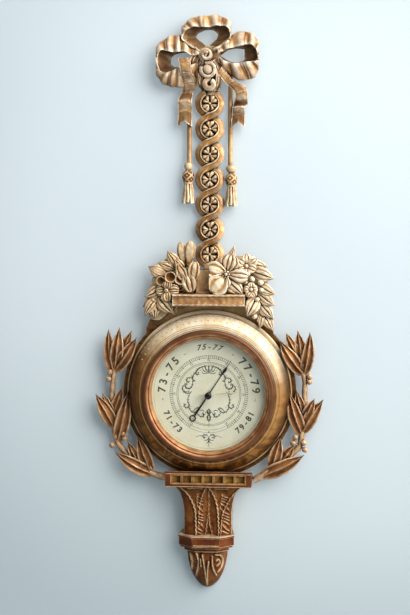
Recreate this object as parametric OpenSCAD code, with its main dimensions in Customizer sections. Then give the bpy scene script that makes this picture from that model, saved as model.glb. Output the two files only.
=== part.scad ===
// Carved and gilded wall barometer with an aneroid movement
// X runs to the right, Z runs up and the front faces -Y. The wall is the plane Y = 0.
// The origin is the centre of the hanging hole. The pieces are laid out from the centre of the dial,
// and a depth is a distance in front of the wall.

/* [Dial and bezel] */
// Radius of the opening in the bezel
sight_r = 85.5; // [80:0.5:92]
// Width of the bezel, from its opening to its outer edge
bezel_w = 13.3; // [12:0.1:16]
// Depth of the dial plate's back
dial_depth = 30; // [29.6:0.1:32]
// Thickness of the dial plate
dial_t = 0.8; // [0.5:0.1:1.2]
// Gap between the dial plate and the glass
glass_gap = 10.2; // [9.5:0.1:14]
// Thickness of the glass
glass_t = 2; // [1.5:0.1:2.5]

/* [Case] */
// Width of the turned case ring's moulding, outside the bezel
ring_w = 26.5; // [20:0.5:34]
// Thickness of the backing board
board_t = 14; // [10:0.5:18]
// How far the backing board shows round the case ring
board_margin = 6; // [3:0.5:9]
// Width of the lintel bar over the case ring
lintel_w = 108; // [90:1:120]
// Height of the lintel bar
lintel_h = 18; // [14:0.5:22]
// Width of the frieze block under the case ring
frieze_w = 130; // [118:1:140]
// Height of the frieze block
frieze_h = 24; // [20:0.5:28]
// Depth of the frieze block in front of the wall
frieze_d = 48; // [44:0.5:54]
// Height of the console between frieze and band
console_h = 78; // [66:1:94]
// Half width of the console's shaft
console_half = 36; // [32:1:42]
// Height of the console band
band_h = 20; // [16:0.5:24]
// Height of the pendant under the band
pendant_h = 64; // [50:1:76]

/* [Neck] */
// Number of roundels in the neck
roundels = 7; // [5:1:9]
// Distance between two roundels
roundel_pitch = 37.3; // [36.4:0.1:42]
// Radius of a roundel's opening
roundel_r = 12.4; // [10.5:0.1:13]
// Width of the interlaced strap
strap_w = 9.6; // [8:0.1:10]
// Height of the neck base over the lintel
neck_base_h = 34; // [28:1:44]

/* [Bow and cords] */
// Thickness of the carved ribbon
ribbon_t = 4; // [3:0.1:5]
// Radius of the carved cords
cord_r = 3.5; // [2.5:0.1:4]
// Distance of the cords from the middle of the neck
cord_x = 30.5; // [29.5:0.1:34]
// Length of the tassels
tassel_l = 61; // [50:1:66]

/* [Laurel] */
// Radius of the laurel stems
stem_r = 4.6; // [3.4:0.1:5.4]
// Distance of the laurel stems from the edge of the case ring
laurel_gap = 22; // [20:0.5:30]

/* [Hanging plate] */
// Radius of the hanging hole
hang_r = 4; // [3:0.1:5]
// Thickness of the hanging plate
hang_t = 2; // [1.5:0.1:3]

/* [Movement] */
// Radius of the vacuum capsule
capsule_r = 29.5; // [26:0.5:31]
// Radius of the hand arbor
arbor_r = 1.2; // [1:0.05:1.4]
// Radius of the rocking shaft
shaft_r = 1.5; // [1.2:0.1:1.8]
// Radius of the adjusting screw
adjuster_r = 2; // [1.6:0.1:2.4]
// Running clearance of a shaft in its bore
run_gap = 0.05; // [0.03:0.01:0.09]
// Clearance between pieces that are laid in each other
seat_gap = 0.2; // [0.1:0.05:0.3]

/* [Hidden] */
$fn = 64;

gold = "#C9A063";
dark_gold = "#9A6E38";
brass = "#C6A552";
steel = "#8A8D92";

// Dial and case sizes that follow from the values above
bezel_r = sight_r + bezel_w;
glass_r = sight_r + 3.6;
dial_r = glass_r + 1.3;
drum_r = dial_r + 1.6;
flange_r = bezel_r - 0.4;
ring_bore_r = drum_r + 1.2;
ring_r = bezel_r + ring_w;
board_r = ring_r + board_margin;
glass_depth = dial_depth + dial_t + glass_gap;
glass_bevel = 0.4 * glass_t;
bezel_seat = glass_depth - 1.8;
flange_t = 1.2;
ring_front = bezel_seat + 7.2;

// Heights that follow from the values above, measured from the dial's centre
lintel_z = ring_r + 8.2;
neck_base_z = lintel_z + lintel_h;
first_roundel_z = neck_base_z + neck_base_h + roundel_r + strap_w + 1.5;
last_roundel_z = first_roundel_z + (roundels - 1) * roundel_pitch;
crest_z = last_roundel_z + roundel_r + strap_w + 1;
crest_h = 60;
crest_half = 16;
crest_d = 14;
hang_z = crest_z + 24;
knot_z = crest_z + 48;
frieze_z = -ring_r + 10.6;
console_z = frieze_z - frieze_h;
band_z = console_z - console_h;
pendant_z = band_z - band_h - 6;

// Helpers: a shape drawn as seen from the front, and a turned shape with its axis through the wall
module between(near, far) {
  translate([0, -near, 0]) rotate([90, 0, 0]) linear_extrude(far - near) children();
}
module turned() {
  rotate([90, 0, 0]) rotate_extrude() children();
}
module at(x, z) {
  translate([x, 0, z]) children();
}
module pin_out(r, near, far) {
  between(near, far) circle(r);
}
module on_wall() {
  translate([0, 0, -hang_z]) children();
}
function arc(cx, cy, rx, ry, from, to, steps) =
  [for (i = [0:steps]) let (a = from + (to - from) * i / steps) [cx + rx * cos(a), cy + ry * sin(a)]];

// A smooth curve through rows of numbers, with a few steps between each two rows
function smooth(rows, steps) = concat(
  [for (i = [0:len(rows) - 2], s = [0:steps - 1])
    let (
      t = s / steps,
      p0 = rows[max(i - 1, 0)],
      p1 = rows[i],
      p2 = rows[i + 1],
      p3 = rows[min(i + 2, len(rows) - 1)]
    )
    0.5 * (2 * p1 + (p2 - p0) * t + (2 * p0 - 5 * p1 + 4 * p2 - p3) * t * t
      + (3 * p1 - p0 - 3 * p2 + p3) * t * t * t)],
  [rows[len(rows) - 1]]
);

// The solid round some points, and a chain of such solids between neighbouring sections
module solid_round(points) {
  hull() polyhedron(points, [for (i = [0:len(points) - 3]) [i, i + 1, i + 2]]);
}
module chain_of(sections) {
  for (i = [0:len(sections) - 2]) solid_round(concat(sections[i], sections[i + 1]));
}
function unit(v) = v / max(norm(v), 0.001);
function direction(path, i) = unit(path[min(i + 1, len(path) - 1)] - path[max(i - 1, 0)]);

// A carved leaf or petal: two half blades that meet in a groove along the rib.
// It starts at (x, z), points along heading and curves by bend over its length.
// root is how much thicker it is at its base, where it grows out of what carries it.
// fullness under 1 puts the widest place near the base and over 1 near the tip.
leaf_steps = [0, 0.3, 0.7, 1];
function leaf_w(t, fullness) = 0.1 + 0.9 * sin(180 * pow(t, fullness)) + 0.2 * (1 - t);
function leaf_half(side, x, z, heading, long, wide, depth, lift, root, bend, fullness) =
  [for (t = leaf_steps)
    let (
      a = heading + bend * t,
      m = heading + bend * t / 2,
      cx = x + long * t * cos(m),
      cz = z + long * t * sin(m),
      w = wide / 2 * leaf_w(t, fullness) * side,
      d = depth + lift * sin(150 * t),
      back = 0.3 * wide + root * pow(1 - t, 1.5)
    )
    [[cx, -d + back, cz],
     [cx, -d + 0.11 * wide, cz],
     [cx - 0.5 * w * sin(a), -d, cz + 0.5 * w * cos(a)],
     [cx - w * sin(a), -d + 0.18 * wide, cz + w * cos(a)]]];
module leaf(x, z, heading, long, wide, depth, lift = 4, root = 0, bend = 0, fullness = 0.75) {
  for (side = [-1, 1]) {
    chain_of(leaf_half(side, x, z, heading, long, wide, depth, lift, root, bend, fullness));
  }
}
// A leaf given by its base and its tip, and a petal, which is widest near its tip
module leaf_to(base, tip, wide, depth, lift = 4, bend = 0, root = 6, fullness = 0.75) {
  run = tip - base;
  heading = atan2(run[1], run[0]) - bend / 2;
  leaf(base[0], base[1], heading, norm(run), wide, depth, lift, root, bend, fullness);
}
module petal_to(base, tip, wide, depth, lift = 4) {
  leaf_to(base, tip, wide, depth, lift, 0, 14, 1.45);
}
module bead(x, z, r, depth) {
  at(x, z) translate([0, -depth, 0]) sphere(r, $fn = 8);
}
// A berry or a blossom's centre on a stalk that starts at depth root
module berry(x, z, r, depth, root) {
  bead(x, z, r, depth);
  at(x, z) between(root, depth) circle(r * 0.6, $fn = 6);
}
// The mouth of a bell flower
module bell(x, z, r, depth) {
  at(x, z) difference() {
    hull() {
      between(depth - 18, depth - 16) circle(r * 0.6, $fn = 10);
      between(depth - 2, depth) circle(r, $fn = 10);
    }
    hull() {
      between(depth - 9, depth - 8) circle(r * 0.3, $fn = 10);
      between(depth - 0.5, depth + 1) circle(r * 0.8, $fn = 10);
    }
  }
}

// Wood pieces round the dial

module board_shoulders() {
  half = lintel_w / 2 + 42;
  right = [
    [half - 54, neck_base_z + 24], [half - 40, neck_base_z + 10], [half - 30, neck_base_z - 8],
    [half - 18, ring_r + 4], [half - 8, ring_r - 10], [half, ring_r - 28], [half, 60]
  ];
  polygon(concat(right, [for (i = [len(right) - 1:-1:0]) [-right[i][0], right[i][1]]]));
}
// The board's solid shape, also used to fit other pieces to it
module board_body(near, far) {
  between(near, far) circle(board_r, $fn = 128);
  between(near, far) board_shoulders();
  between(near, far) translate([-console_half, -ring_r - 10]) square([2 * console_half, 60]);
}
module backboard() {
  color("#5A4330") on_wall() difference() {
    board_body(0, board_t);
    pin_out(ring_bore_r, -1, board_t + 1);
  }
}

// Profile of the case ring, from the bore round the outer bead and the hollow edge to the bezel's seat
module ring_profile(bore) {
  polygon(concat(
    [[bore, board_t], [ring_r - 1, board_t]],
    arc(ring_r - 2.2, board_t + 2.8, 2.6, 2.4, -70, 90, 5),
    [[ring_r - 4.2, board_t + 5.2]],
    arc(bezel_r + 4, board_t + 5.6, ring_w - 8.6, ring_front - board_t - 8.2, 0, 90, 9),
    [[bezel_r + 4, ring_front], [min(bore, bezel_r + 0.4), ring_front]],
    bore < flange_r ? [[bore, ring_front]] : []
  ));
}
module case_ring() {
  color(gold) on_wall() turned() difference() {
    ring_profile(ring_bore_r);
    translate([0, bezel_seat - flange_t]) square([bezel_r + 0.4, 40]);
  }
}

module bezel() {
  lip = glass_depth + glass_t - glass_bevel + seat_gap;
  crown = lip + 7.6;
  color("#B5653C") on_wall() turned() polygon(concat(
    [[glass_r + seat_gap, bezel_seat], [bezel_r, bezel_seat], [bezel_r, bezel_seat + 6.4]],
    arc(bezel_r - 4.6, bezel_seat + 7.2, 4.6, crown - bezel_seat - 7.2, 0, 150, 7),
    [[sight_r + 5.2, crown - 3.6]],
    arc(sight_r + 3.2, crown - 4.4, 1.7, 1.5, 50, 170, 4),
    [[sight_r, lip + 1.4], [sight_r, lip], [glass_r + seat_gap, lip]]
  ));
}

// The glass has a polished bevel inside the bezel's lip
module glass() {
  front = glass_depth + glass_t;
  color("#DDEBEE", 0.35) on_wall() turned() polygon([
    [bush_r + 0.05, glass_depth], [glass_r, glass_depth], [glass_r, front - glass_bevel],
    [sight_r, front - glass_bevel], [sight_r - 8, front], [bush_r + 0.05, front]
  ]);
}

// The bush is riveted in the glass and carries the setting knob's shaft
bush_r = 3;
knob_shaft_r = 1.5;
bush_front = glass_depth + glass_t + 0.8;
module glass_bush() {
  bore = knob_shaft_r + run_gap;
  color(brass) on_wall() turned() polygon([
    [bore, glass_depth - 1.2], [4.6, glass_depth - 1.2], [4.6, glass_depth], [bush_r, glass_depth],
    [bush_r, glass_depth + glass_t], [4.6, glass_depth + glass_t], [4.2, bush_front], [bore, bush_front]
  ]);
}
set_hand_depth = glass_depth - 5.4;
module set_knob() {
  base = bush_front + 0.3;
  color("#2B2A2C") on_wall() turned() polygon(concat(
    [[0, set_hand_depth], [knob_shaft_r, set_hand_depth], [knob_shaft_r, base], [3.6, base]],
    [[5.2, base + 0.8], [5.2, base + 3.6]],
    arc(0, base + 3.6, 5.2, 2.4, 12, 90, 5)
  ));
}
module set_hand() {
  hub = 2.8;
  color(brass) on_wall() rotate([0, -6, 0]) {
    between(set_hand_depth, set_hand_depth + 1.6) difference() {
      circle(hub);
      circle(knob_shaft_r);
    }
    between(set_hand_depth + 0.4, set_hand_depth + 0.9) difference() {
      polygon([
        [-15, -1.6], [-12, -0.6], [-2, -0.7], [2, -0.9], [30, -0.7], [34, -1.9], [38, -0.5], [46, 0],
        [38, 0.5], [34, 1.9], [30, 0.7], [2, 0.9], [-2, 0.7], [-12, 0.6], [-15, 1.6]
      ]);
      circle(hub - 0.5);
    }
  }
}
// The pressure hand has a lozenge before its tip and a ring at its tail
hand_depth = dial_depth + dial_t + 1.2;
hand_angle = 33.4;
module pressure_hand() {
  color("#23262E") on_wall() rotate([0, hand_angle, 0]) {
    between(hand_depth, hand_depth + 2) difference() {
      circle(3);
      circle(arbor_r - 0.2);
    }
    between(hand_depth + 0.6, hand_depth + 1.2) {
      difference() {
        union() {
          polygon([
            [-0.9, 0], [-0.6, 38], [-2.6, 44], [-0.5, 50], [0, 64], [0.5, 50], [2.6, 44], [0.6, 38],
            [0.9, 0], [1.2, -20], [1.7, -40], [-1.7, -40], [-1.2, -20]
          ]);
          translate([0, -44]) circle(5);
        }
        circle(2.5);
        translate([0, -44]) circle(3.2);
        translate([0, -38.6]) circle(0.6);
      }
    }
  }
}
module dial_plate() {
  color("#D9D6BE") on_wall() between(dial_depth, dial_depth + dial_t) difference() {
    circle(dial_r, $fn = 128);
    circle(4);
  }
}
// The sloped ring that keeps the dial and the glass apart
module sight_ring() {
  front = dial_depth + dial_t;
  color("#CDB37C") on_wall() turned() polygon([
    [sight_r + 0.6, front], [dial_r, front], [dial_r, bezel_seat - 1], [glass_r, bezel_seat - 1],
    [glass_r, glass_depth], [sight_r + 1.8, glass_depth]
  ]);
}

// Movement

floor_depth = 3;
sheet = 1;
plate_depth = floor_depth + sheet;
plate_t = 2;
deck = plate_depth + plate_t;
plate_r = 72;
pillar_r = 3;
pillar_ring = 66;
screw_ring = 64;
capsule_at = [-22, -16];
bridge_at = [capsule_at[0] - capsule_r - 5.5, capsule_at[1]];
module movement_case() {
  color(brass) on_wall() difference() {
    turned() polygon([
      [0, floor_depth], [drum_r, floor_depth], [drum_r, bezel_seat - flange_t],
      [flange_r, bezel_seat - flange_t], [flange_r, bezel_seat], [drum_r - sheet, bezel_seat],
      [drum_r - sheet, plate_depth], [0, plate_depth]
    ]);
    at(bridge_at[0], bridge_at[1]) pin_out(5.4, 0, 8);
    for (a = [20, 140, 260]) rotate([0, -a, 0]) at(screw_ring, 0) pin_out(1.7, 0, 8);
  }
}
module base_plate() {
  color(brass) on_wall() between(plate_depth, deck) difference() {
    circle(plate_r, $fn = 96);
    translate(bridge_at) circle(adjuster_r + run_gap);
    for (a = [20, 140, 260]) rotate(a) translate([screw_ring, 0]) circle(1.55);
  }
}
module base_screws() {
  color(steel) on_wall() for (a = [20, 140, 260]) rotate([0, -a, 0]) at(screw_ring, 0) difference() {
    turned() polygon([
      [0, 1.4], [2.2, 1.4], [3, 2], [3, floor_depth], [1.5, floor_depth], [1.5, deck], [0, deck]
    ]);
    translate([-4, -2, -0.4]) cube([8, 1.4, 0.8]);
  }
}
module dial_pillars() {
  color(brass) on_wall() for (a = [60, 180, 300]) rotate([0, -a, 0]) at(pillar_ring, 0)
    turned() polygon([
      [0, deck], [pillar_r, deck], [pillar_r, deck + 2], [pillar_r - 0.8, deck + 3],
      [pillar_r - 0.8, dial_depth - 3], [pillar_r, dial_depth - 2], [pillar_r, dial_depth], [0, dial_depth]
    ]);
}

// The vacuum capsule: two corrugated diaphragms soldered at the rim
capsule_low = deck + 3;
capsule_h = 10;
capsule_top = capsule_low + capsule_h + 1;
function diaphragm(side) =
  [for (i = [0:14]) let (r = 5 + (capsule_r - 8) * i / 14)
    [r, capsule_low + capsule_h / 2 + side * (capsule_h / 2 - 0.8 + 0.7 * cos(i * 180))]];
module capsule() {
  rim = capsule_low + capsule_h / 2;
  low = diaphragm(-1);
  high = diaphragm(1);
  color("#C9B98A") on_wall() at(capsule_at[0], capsule_at[1]) turned() polygon(concat(
    [[0, deck], [4, deck], [4, low[0][1]]],
    low,
    [[capsule_r, rim - 0.8], [capsule_r, rim + 0.8]],
    [for (i = [14:-1:0]) high[i]],
    [[5, capsule_top], [0, capsule_top]]
  ));
}
spring_depth = deck + 17;
spring_t = 1.2;
lever_t = 1.2;
post_r = 2;
module capsule_post() {
  nut = spring_depth + spring_t + lever_t + 0.3;
  color(steel) on_wall() at(capsule_at[0], capsule_at[1]) turned() polygon([
    [0, capsule_top], [post_r, capsule_top], [post_r, nut], [3.4, nut], [3.4, nut + 1.4], [0, nut + 1.4]
  ]);
}
// The bridge stands on two feet and carries the main spring over the capsule
module bridge() {
  beam = deck + 9;
  color("#6E6A62") on_wall() translate([bridge_at[0], 0, bridge_at[1]]) difference() {
    translate([-5, -spring_depth, -15]) cube([10, spring_depth - deck, 30]);
    translate([-6, -beam, -9]) cube([12, beam, 18]);
    pin_out(adjuster_r + run_gap, 0, spring_depth - 3);
    for (z = [-6, 6]) at(0, z) pin_out(1.35, spring_depth - 5, spring_depth + 1);
  }
}
module main_spring() {
  color("#5E6B78") on_wall() between(spring_depth, spring_depth + spring_t) difference() {
    polygon([
      [bridge_at[0] - 5, bridge_at[1] - 11], [bridge_at[0] + 8, bridge_at[1] - 11],
      [capsule_at[0] + 8, bridge_at[1] - 7], [capsule_at[0] + 8, bridge_at[1] + 7],
      [bridge_at[0] + 8, bridge_at[1] + 11], [bridge_at[0] - 5, bridge_at[1] + 11]
    ]);
    translate(capsule_at) circle(post_r + 0.3);
    for (z = [-6, 6]) translate([bridge_at[0], bridge_at[1] + z]) circle(1.4);
  }
}
module spring_screws() {
  head = spring_depth + spring_t;
  color(steel) on_wall() for (z = [-6, 6]) at(bridge_at[0], bridge_at[1] + z) difference() {
    turned() polygon([
      [0, spring_depth - 4], [1.3, spring_depth - 4], [1.3, head], [2.6, head],
      [2.6, head + 1.4], [0, head + 1.4]
    ]);
    translate([-4, -head - 2, -0.3]) cube([8, 1.2, 0.6]);
  }
}

// The lever arm lies on the main spring's free end; its link hangs from the tip to the rocking shaft
shaft_at = [44, deck + 8];
link_x = shaft_at[0] - 5;
lever_z = bridge_at[1];
module lever_arm() {
  low = spring_depth + spring_t;
  color(steel) on_wall() {
    between(low, low + lever_t) difference() {
      polygon([
        [capsule_at[0] - 6, lever_z - 6], [capsule_at[0] + 7, lever_z - 6],
        [capsule_at[0] + 12, lever_z - 2.5], [link_x + 2.5, lever_z - 1.6],
        [link_x + 2.5, lever_z + 1.6], [capsule_at[0] + 12, lever_z + 2.5],
        [capsule_at[0] + 7, lever_z + 6], [capsule_at[0] - 6, lever_z + 6]
      ]);
      translate(capsule_at) circle(post_r + 0.4);
    }
    at(link_x, lever_z) pin_out(0.8, shaft_at[1] + 2, low);
    translate([link_x, -shaft_at[1], lever_z]) difference() {
      cylinder(r = 2.5, h = 2, center = true);
      cylinder(r = 1.5, h = 4, center = true);
    }
  }
}
// The rocking shaft: a short arm that the link lifts and a long arm that pulls the chain
chain_depth = deck + 19;
chain_z = -arbor_r - 0.6;
module rocking_shaft() {
  arm_top = lever_z + 3;
  color(steel) on_wall() translate([shaft_at[0], -shaft_at[1], 0]) {
    translate([0, 0, -24.7]) cylinder(r = shaft_r, h = 31.4);
    translate([0, 0, -27.6]) cylinder(r = 0.8, h = 37.2);
    translate([0, 0, arm_top - 1.6]) {
      cylinder(r = 2.4, h = 1.6);
      translate([-5, -1.2, 0]) cube([5, 2.4, 1.6]);
      translate([link_x - shaft_at[0], 0, 0]) cylinder(r = 1.6, h = 1.6);
    }
    translate([link_x - shaft_at[0], 0, lever_z - 1.8]) cylinder(r = 0.7, h = 3.4);
    translate([-1, shaft_at[1] - chain_depth - 1, chain_z - 0.6])
      cube([2, chain_depth + 1 - shaft_at[1], 1.2]);
    translate([0, -0.5, -8]) rotate([0, 90, 0]) cylinder(r = 0.6, h = 9);
    translate([6, -0.5, -8]) rotate([0, 90, 0]) cylinder(r = 2, h = 3);
  }
}
module shaft_cocks() {
  color(brass) on_wall() for (z = [-28, 7]) translate([shaft_at[0], 0, z]) difference() {
    union() {
      translate([-4, -deck - 2, 0]) cube([8, 2, 3]);
      translate([-2.5, -shaft_at[1], 0]) cube([5, shaft_at[1] - deck, 3]);
      translate([0, -shaft_at[1], 0]) cylinder(r = 2.5, h = 3);
    }
    translate([0, -shaft_at[1], -1]) cylinder(r = 0.8 + run_gap, h = 5);
  }
}
// The chain of flat riveted links lies round the left half of the arbor's drum and runs to the arm
module chain() {
  links = 13;
  step = (shaft_at[0] - 1) / links;
  color(steel) on_wall() {
    between(chain_depth - 0.4, chain_depth + 0.4) difference() {
      circle(arbor_r + 1.2, $fn = 32);
      circle(arbor_r, $fn = 32);
      translate([0, -4]) square([8, 8]);
    }
    for (i = [0:links - 1]) {
      low = chain_depth - (i % 2 == 0 ? 0.4 : 0);
      between(low, low + 0.4) {
        translate([step * i, chain_z - 0.4]) square([step, 0.8]);
        translate([step * i, chain_z]) circle(0.6, $fn = 16);
      }
      at(step * i, chain_z) between(chain_depth - 0.4, chain_depth + 0.4) circle(0.4, $fn = 16);
    }
  }
}

// The hand arbor turns in the two cocks, with the chain's drum between two flanges
cock_depth = deck + 14;
cock_t = 1.5;
upper_cock_depth = dial_depth - 2;
module hand_arbor() {
  spring_seat = cock_depth + cock_t + 0.7;
  color(steel) on_wall() turned() polygon([
    [0, cock_depth], [0.6, cock_depth], [0.6, cock_depth + cock_t + 0.2],
    [arbor_r, cock_depth + cock_t + 0.2], [arbor_r, spring_seat], [1.9, spring_seat],
    [1.9, spring_seat + 1], [3, spring_seat + 1.1], [3, chain_depth - 1.1],
    [arbor_r, chain_depth - 1.1], [arbor_r, chain_depth + 1.1], [3, chain_depth + 1.1],
    [3, chain_depth + 1.5], [arbor_r, chain_depth + 1.5], [arbor_r, hand_depth],
    [arbor_r - 0.2, hand_depth], [arbor_r - 0.2, hand_depth + 2.4], [0, hand_depth + 2.6]
  ]);
}
cock_feet = [[-12, 36], [20, 34]];
module cock_outline() {
  translate([-5, -6]) square([10, 42]);
  circle(7);
  for (p = cock_feet) translate(p) circle(5);
  translate([-12, 31]) square([32, 8]);
}
module lower_cock() {
  color(brass) on_wall() {
    between(cock_depth, cock_depth + cock_t) difference() {
      cock_outline();
      circle(0.6 + run_gap);
      for (p = cock_feet) translate(p) circle(1.55);
    }
    at(8.2, 0) pin_out(0.7, cock_depth + cock_t / 2, cock_depth + cock_t + 2);
    between(cock_depth, cock_depth + cock_t) translate([5, -1.5]) square([4.5, 3]);
  }
}
module upper_cock() {
  color(brass) on_wall() between(upper_cock_depth, upper_cock_depth + 1.2) difference() {
    cock_outline();
    circle(arbor_r + run_gap);
    for (p = cock_feet) translate(p) circle(1.25);
  }
}
module lower_pillars() {
  color(brass) on_wall() for (p = cock_feet) at(p[0], p[1]) turned() polygon([
    [0, deck], [3, deck], [3, cock_depth], [1.5, cock_depth],
    [1.5, cock_depth + cock_t], [0, cock_depth + cock_t]
  ]);
}
module upper_pillars() {
  low = cock_depth + cock_t;
  color(brass) on_wall() for (p = cock_feet) at(p[0], p[1]) turned() polygon([
    [0, low], [2.5, low], [2.5, upper_cock_depth], [1.2, upper_cock_depth],
    [1.2, upper_cock_depth + 1.2], [0, upper_cock_depth + 1.2]
  ]);
}
module hairspring() {
  turns = 2.5;
  steps = 50;
  inner = [for (i = [0:steps]) let (a = 360 * turns * i / steps, r = 1.95 + 5.3 * i / steps)
    [-r * cos(a), -r * sin(a)]];
  outer = [for (i = [steps:-1:0]) let (a = 360 * turns * i / steps, r = 2.25 + 5.3 * i / steps)
    [-r * cos(a), -r * sin(a)]];
  color("#5E6B78") on_wall()
    between(cock_depth + cock_t + 0.8, cock_depth + cock_t + 1.6) polygon(concat(inner, outer));
}
module adjusting_screw() {
  color(steel) on_wall() at(bridge_at[0], bridge_at[1]) difference() {
    turned() polygon([
      [0, 1], [4.4, 1], [4.6, 1.4], [4.6, plate_depth - seat_gap], [adjuster_r, plate_depth - seat_gap],
      [adjuster_r, spring_depth - 4], [0, spring_depth - 4]
    ]);
    translate([-6, -2, -0.5]) cube([12, 2, 1]);
  }
}

// Wood pieces over the dial

module lintel() {
  mid = lintel_z + lintel_h / 2;
  color(gold) on_wall() difference() {
    translate([-lintel_w / 2, 0, 0]) rotate([90, 0, 90]) linear_extrude(lintel_w) polygon(concat(
      [[-board_t, lintel_z]],
      arc(-32, mid, -14, -lintel_h / 2, 90, -90, 10),
      [[-board_t, lintel_z + lintel_h]]
    ));
    turned() translate([0, board_t]) square([ring_r + 0.6, 60]);
  }
}

// Two straps twist round the roundels; the one that falls to the left always lies in front
strap_mid_r = roundel_r + strap_w / 2;
strap_depth = 15;
strap_rise = 4.5;
floor_d = 6;
turn_angle = asin(min(2 * strap_mid_r / roundel_pitch, 0.999));
function strap_section(c, out, d) = [
  [c[0] + out[0] * strap_w / 2, 1 - floor_d, c[1] + out[1] * strap_w / 2],
  [c[0] + out[0] * strap_w / 2, -d + 2.2, c[1] + out[1] * strap_w / 2],
  [c[0] + out[0] * strap_w / 4, -d, c[1] + out[1] * strap_w / 4],
  [c[0] - out[0] * strap_w / 4, -d, c[1] - out[1] * strap_w / 4],
  [c[0] - out[0] * strap_w / 2, -d + 2.2, c[1] - out[1] * strap_w / 2],
  [c[0] - out[0] * strap_w / 2, 1 - floor_d, c[1] - out[1] * strap_w / 2]
];
function strap_sections(n, side, last) =
  [for (i = [0:4])
    let (
      a = turn_angle - 2 * turn_angle * i / 4,
      out = [side * cos(a), sin(a)],
      c = [0, last_roundel_z - n * roundel_pitch] + strap_mid_r * out
    )
    strap_section(c, out, strap_depth - side * strap_rise * sin(a))];
module neck_straps() {
  for (n = [0:roundels - 1], side = [-1, 1]) {
    here = strap_sections(n, side);
    chain_of(here);
    if (n < roundels - 1) chain_of([here[4], turned_over(strap_sections(n + 1, -side)[0])]);
  }
}
// The strap changes side between two roundels, so its outer edge becomes the inner one
function turned_over(section) = [for (i = [5:-1:0]) section[i]];
module rosette(turn) {
  low = 1 - floor_d;
  for (a = [0:90:270]) rotate([0, a + turn, 0]) solid_round([
    [1, low, 0], [6.4, low, -4.6], [6.4, low, 4.6],
    [6, -floor_d - 5.6, 0], [9.4, -floor_d - 3.8, 0], [10.8, low, 0]
  ]);
  berry(0, 0, 2.6, floor_d + 4, floor_d - 1);
}
module neck() {
  foot = first_roundel_z - roundel_r - strap_w - 1.5;
  color(gold) on_wall() {
    for (n = [0:roundels - 1]) at(0, last_roundel_z - n * roundel_pitch) {
      between(0, floor_d) circle(roundel_r + strap_w - 0.6, $fn = 20);
      rosette(n % 2 == 0 ? 45 : 0);
    }
    between(0, floor_d + 4) translate([-9, foot]) square([18, strap_w]);
    between(0, floor_d + 4) translate([-9, crest_z - strap_w]) square([18, strap_w]);
    between(0, floor_d - 1) translate([-7, foot]) square([14, crest_z - foot]);
    neck_straps();
  }
}
// A block with one wide hollow that runs out at its top, hidden at both sides by the bouquets
module neck_base() {
  half = 19;
  color(dark_gold) on_wall() difference() {
    between(0, 30) translate([-half, neck_base_z]) square([2 * half, neck_base_h]);
    board_body(-1, board_t);
    translate([0, -46, neck_base_z + 3]) cylinder(r = 23, h = neck_base_h);
  }
}

// Bow: every ribbon loop runs between a back edge near the wall and a front edge that flares out

module crest_block() {
  color(dark_gold) on_wall() difference() {
    between(0, crest_d) translate([-crest_half, crest_z]) square([2 * crest_half, crest_h]);
    translate([-11 - seat_gap, -hang_t, hang_z - 24 + seat_gap]) cube([22 + 2 * seat_gap, 20, 50]);
    at(0, hang_z) pin_out(8, 0, 10);
    for (z = [-17, 17]) at(0, hang_z + z) pin_out(1.8, 0, 11);
  }
}
module hanger_plate() {
  color(steel) on_wall() between(0, hang_t) difference() {
    translate([-11, hang_z - 23.5]) square([22, 47]);
    translate([0, hang_z]) circle(hang_r);
    for (z = [-17, 17]) translate([0, hang_z + z]) circle(2);
  }
}
module hanger_screws() {
  color(steel) on_wall() for (z = [-17, 17]) at(0, hang_z + z) difference() {
    turned() polygon([[0, 0.2], [1.9, 0.2], [1.9, hang_t], [1.7, hang_t], [1.5, 9], [0, 10.6]]);
    translate([-3, -0.9, -0.3]) cube([6, 1, 0.6]);
  }
}

// Rows of a loop: back edge x, back edge z, front edge x, front edge z, all from the knot
function loop_sections(rows, near, far) =
  let (curve = smooth(rows, 2))
  [for (i = [0:len(curve) - 1])
    let (
      r = curve[i],
      d = direction(curve, i),
      nb = unit([-d[1], d[0]]) * ribbon_t / 2,
      nf = unit([-d[3], d[2]]) * ribbon_t / 2,
      ripple = 1.6 * cos(180 * i)
    )
    [[r[0] - nb[0], -near, r[1] - nb[1] + knot_z],
     [r[0] + nb[0], -near, r[1] + nb[1] + knot_z],
     [r[2] - nf[0], -far - ripple, r[3] - nf[1] + knot_z],
     [r[2] + nf[0], -far - ripple, r[3] + nf[1] + knot_z]]];
top_loop = [
  [-6, 12, -9, 4], [-15, 22, -24, 13], [-22, 34, -37, 25], [-24, 46, -38, 34], [-14, 54, -25, 40],
  [0, 56, -5, 39], [14, 54, 12, 37], [22, 46, 28, 34], [18, 32, 29, 27], [10, 24, 22, 16], [2, 12, 10, 6]
];
left_loop = [
  [-12, 8, -13, 0], [-26, 20, -28, 2], [-44, 28, -44, 8], [-58, 27, -62, 6], [-63, 16, -74, -2],
  [-58, 3, -77, -18], [-56, -10, -68, -36], [-48, -14, -50, -46], [-36, -10, -32, -40], [-22, -6, -18, -20]
];
right_loop = [
  [12, 8, 14, 2], [22, 16, 28, 8], [36, 29, 42, 12], [50, 31, 58, 13], [57, 22, 69, 4], [54, 6, 70, -14],
  [50, -8, 66, -31], [32, -9, 46, -36], [22, -8, 30, -32], [14, -4, 16, -24]
];
module carved_loop(rows) {
  color(gold) on_wall() difference() {
    chain_of(loop_sections(rows, 8.6, 25));
    translate([-crest_half, -crest_d - 0.1, crest_z]) cube([2 * crest_half, 40, crest_h]);
    at(0, knot_z) pin_out(knot_r, 0, 60);
    for (side = [-1, 1]) cord_body(side, 0.1);
  }
}
module bow_loop_top() {
  carved_loop(top_loop);
}
module bow_loop_left() {
  carved_loop(left_loop);
}
module bow_loop_right() {
  carved_loop(right_loop);
}

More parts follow.
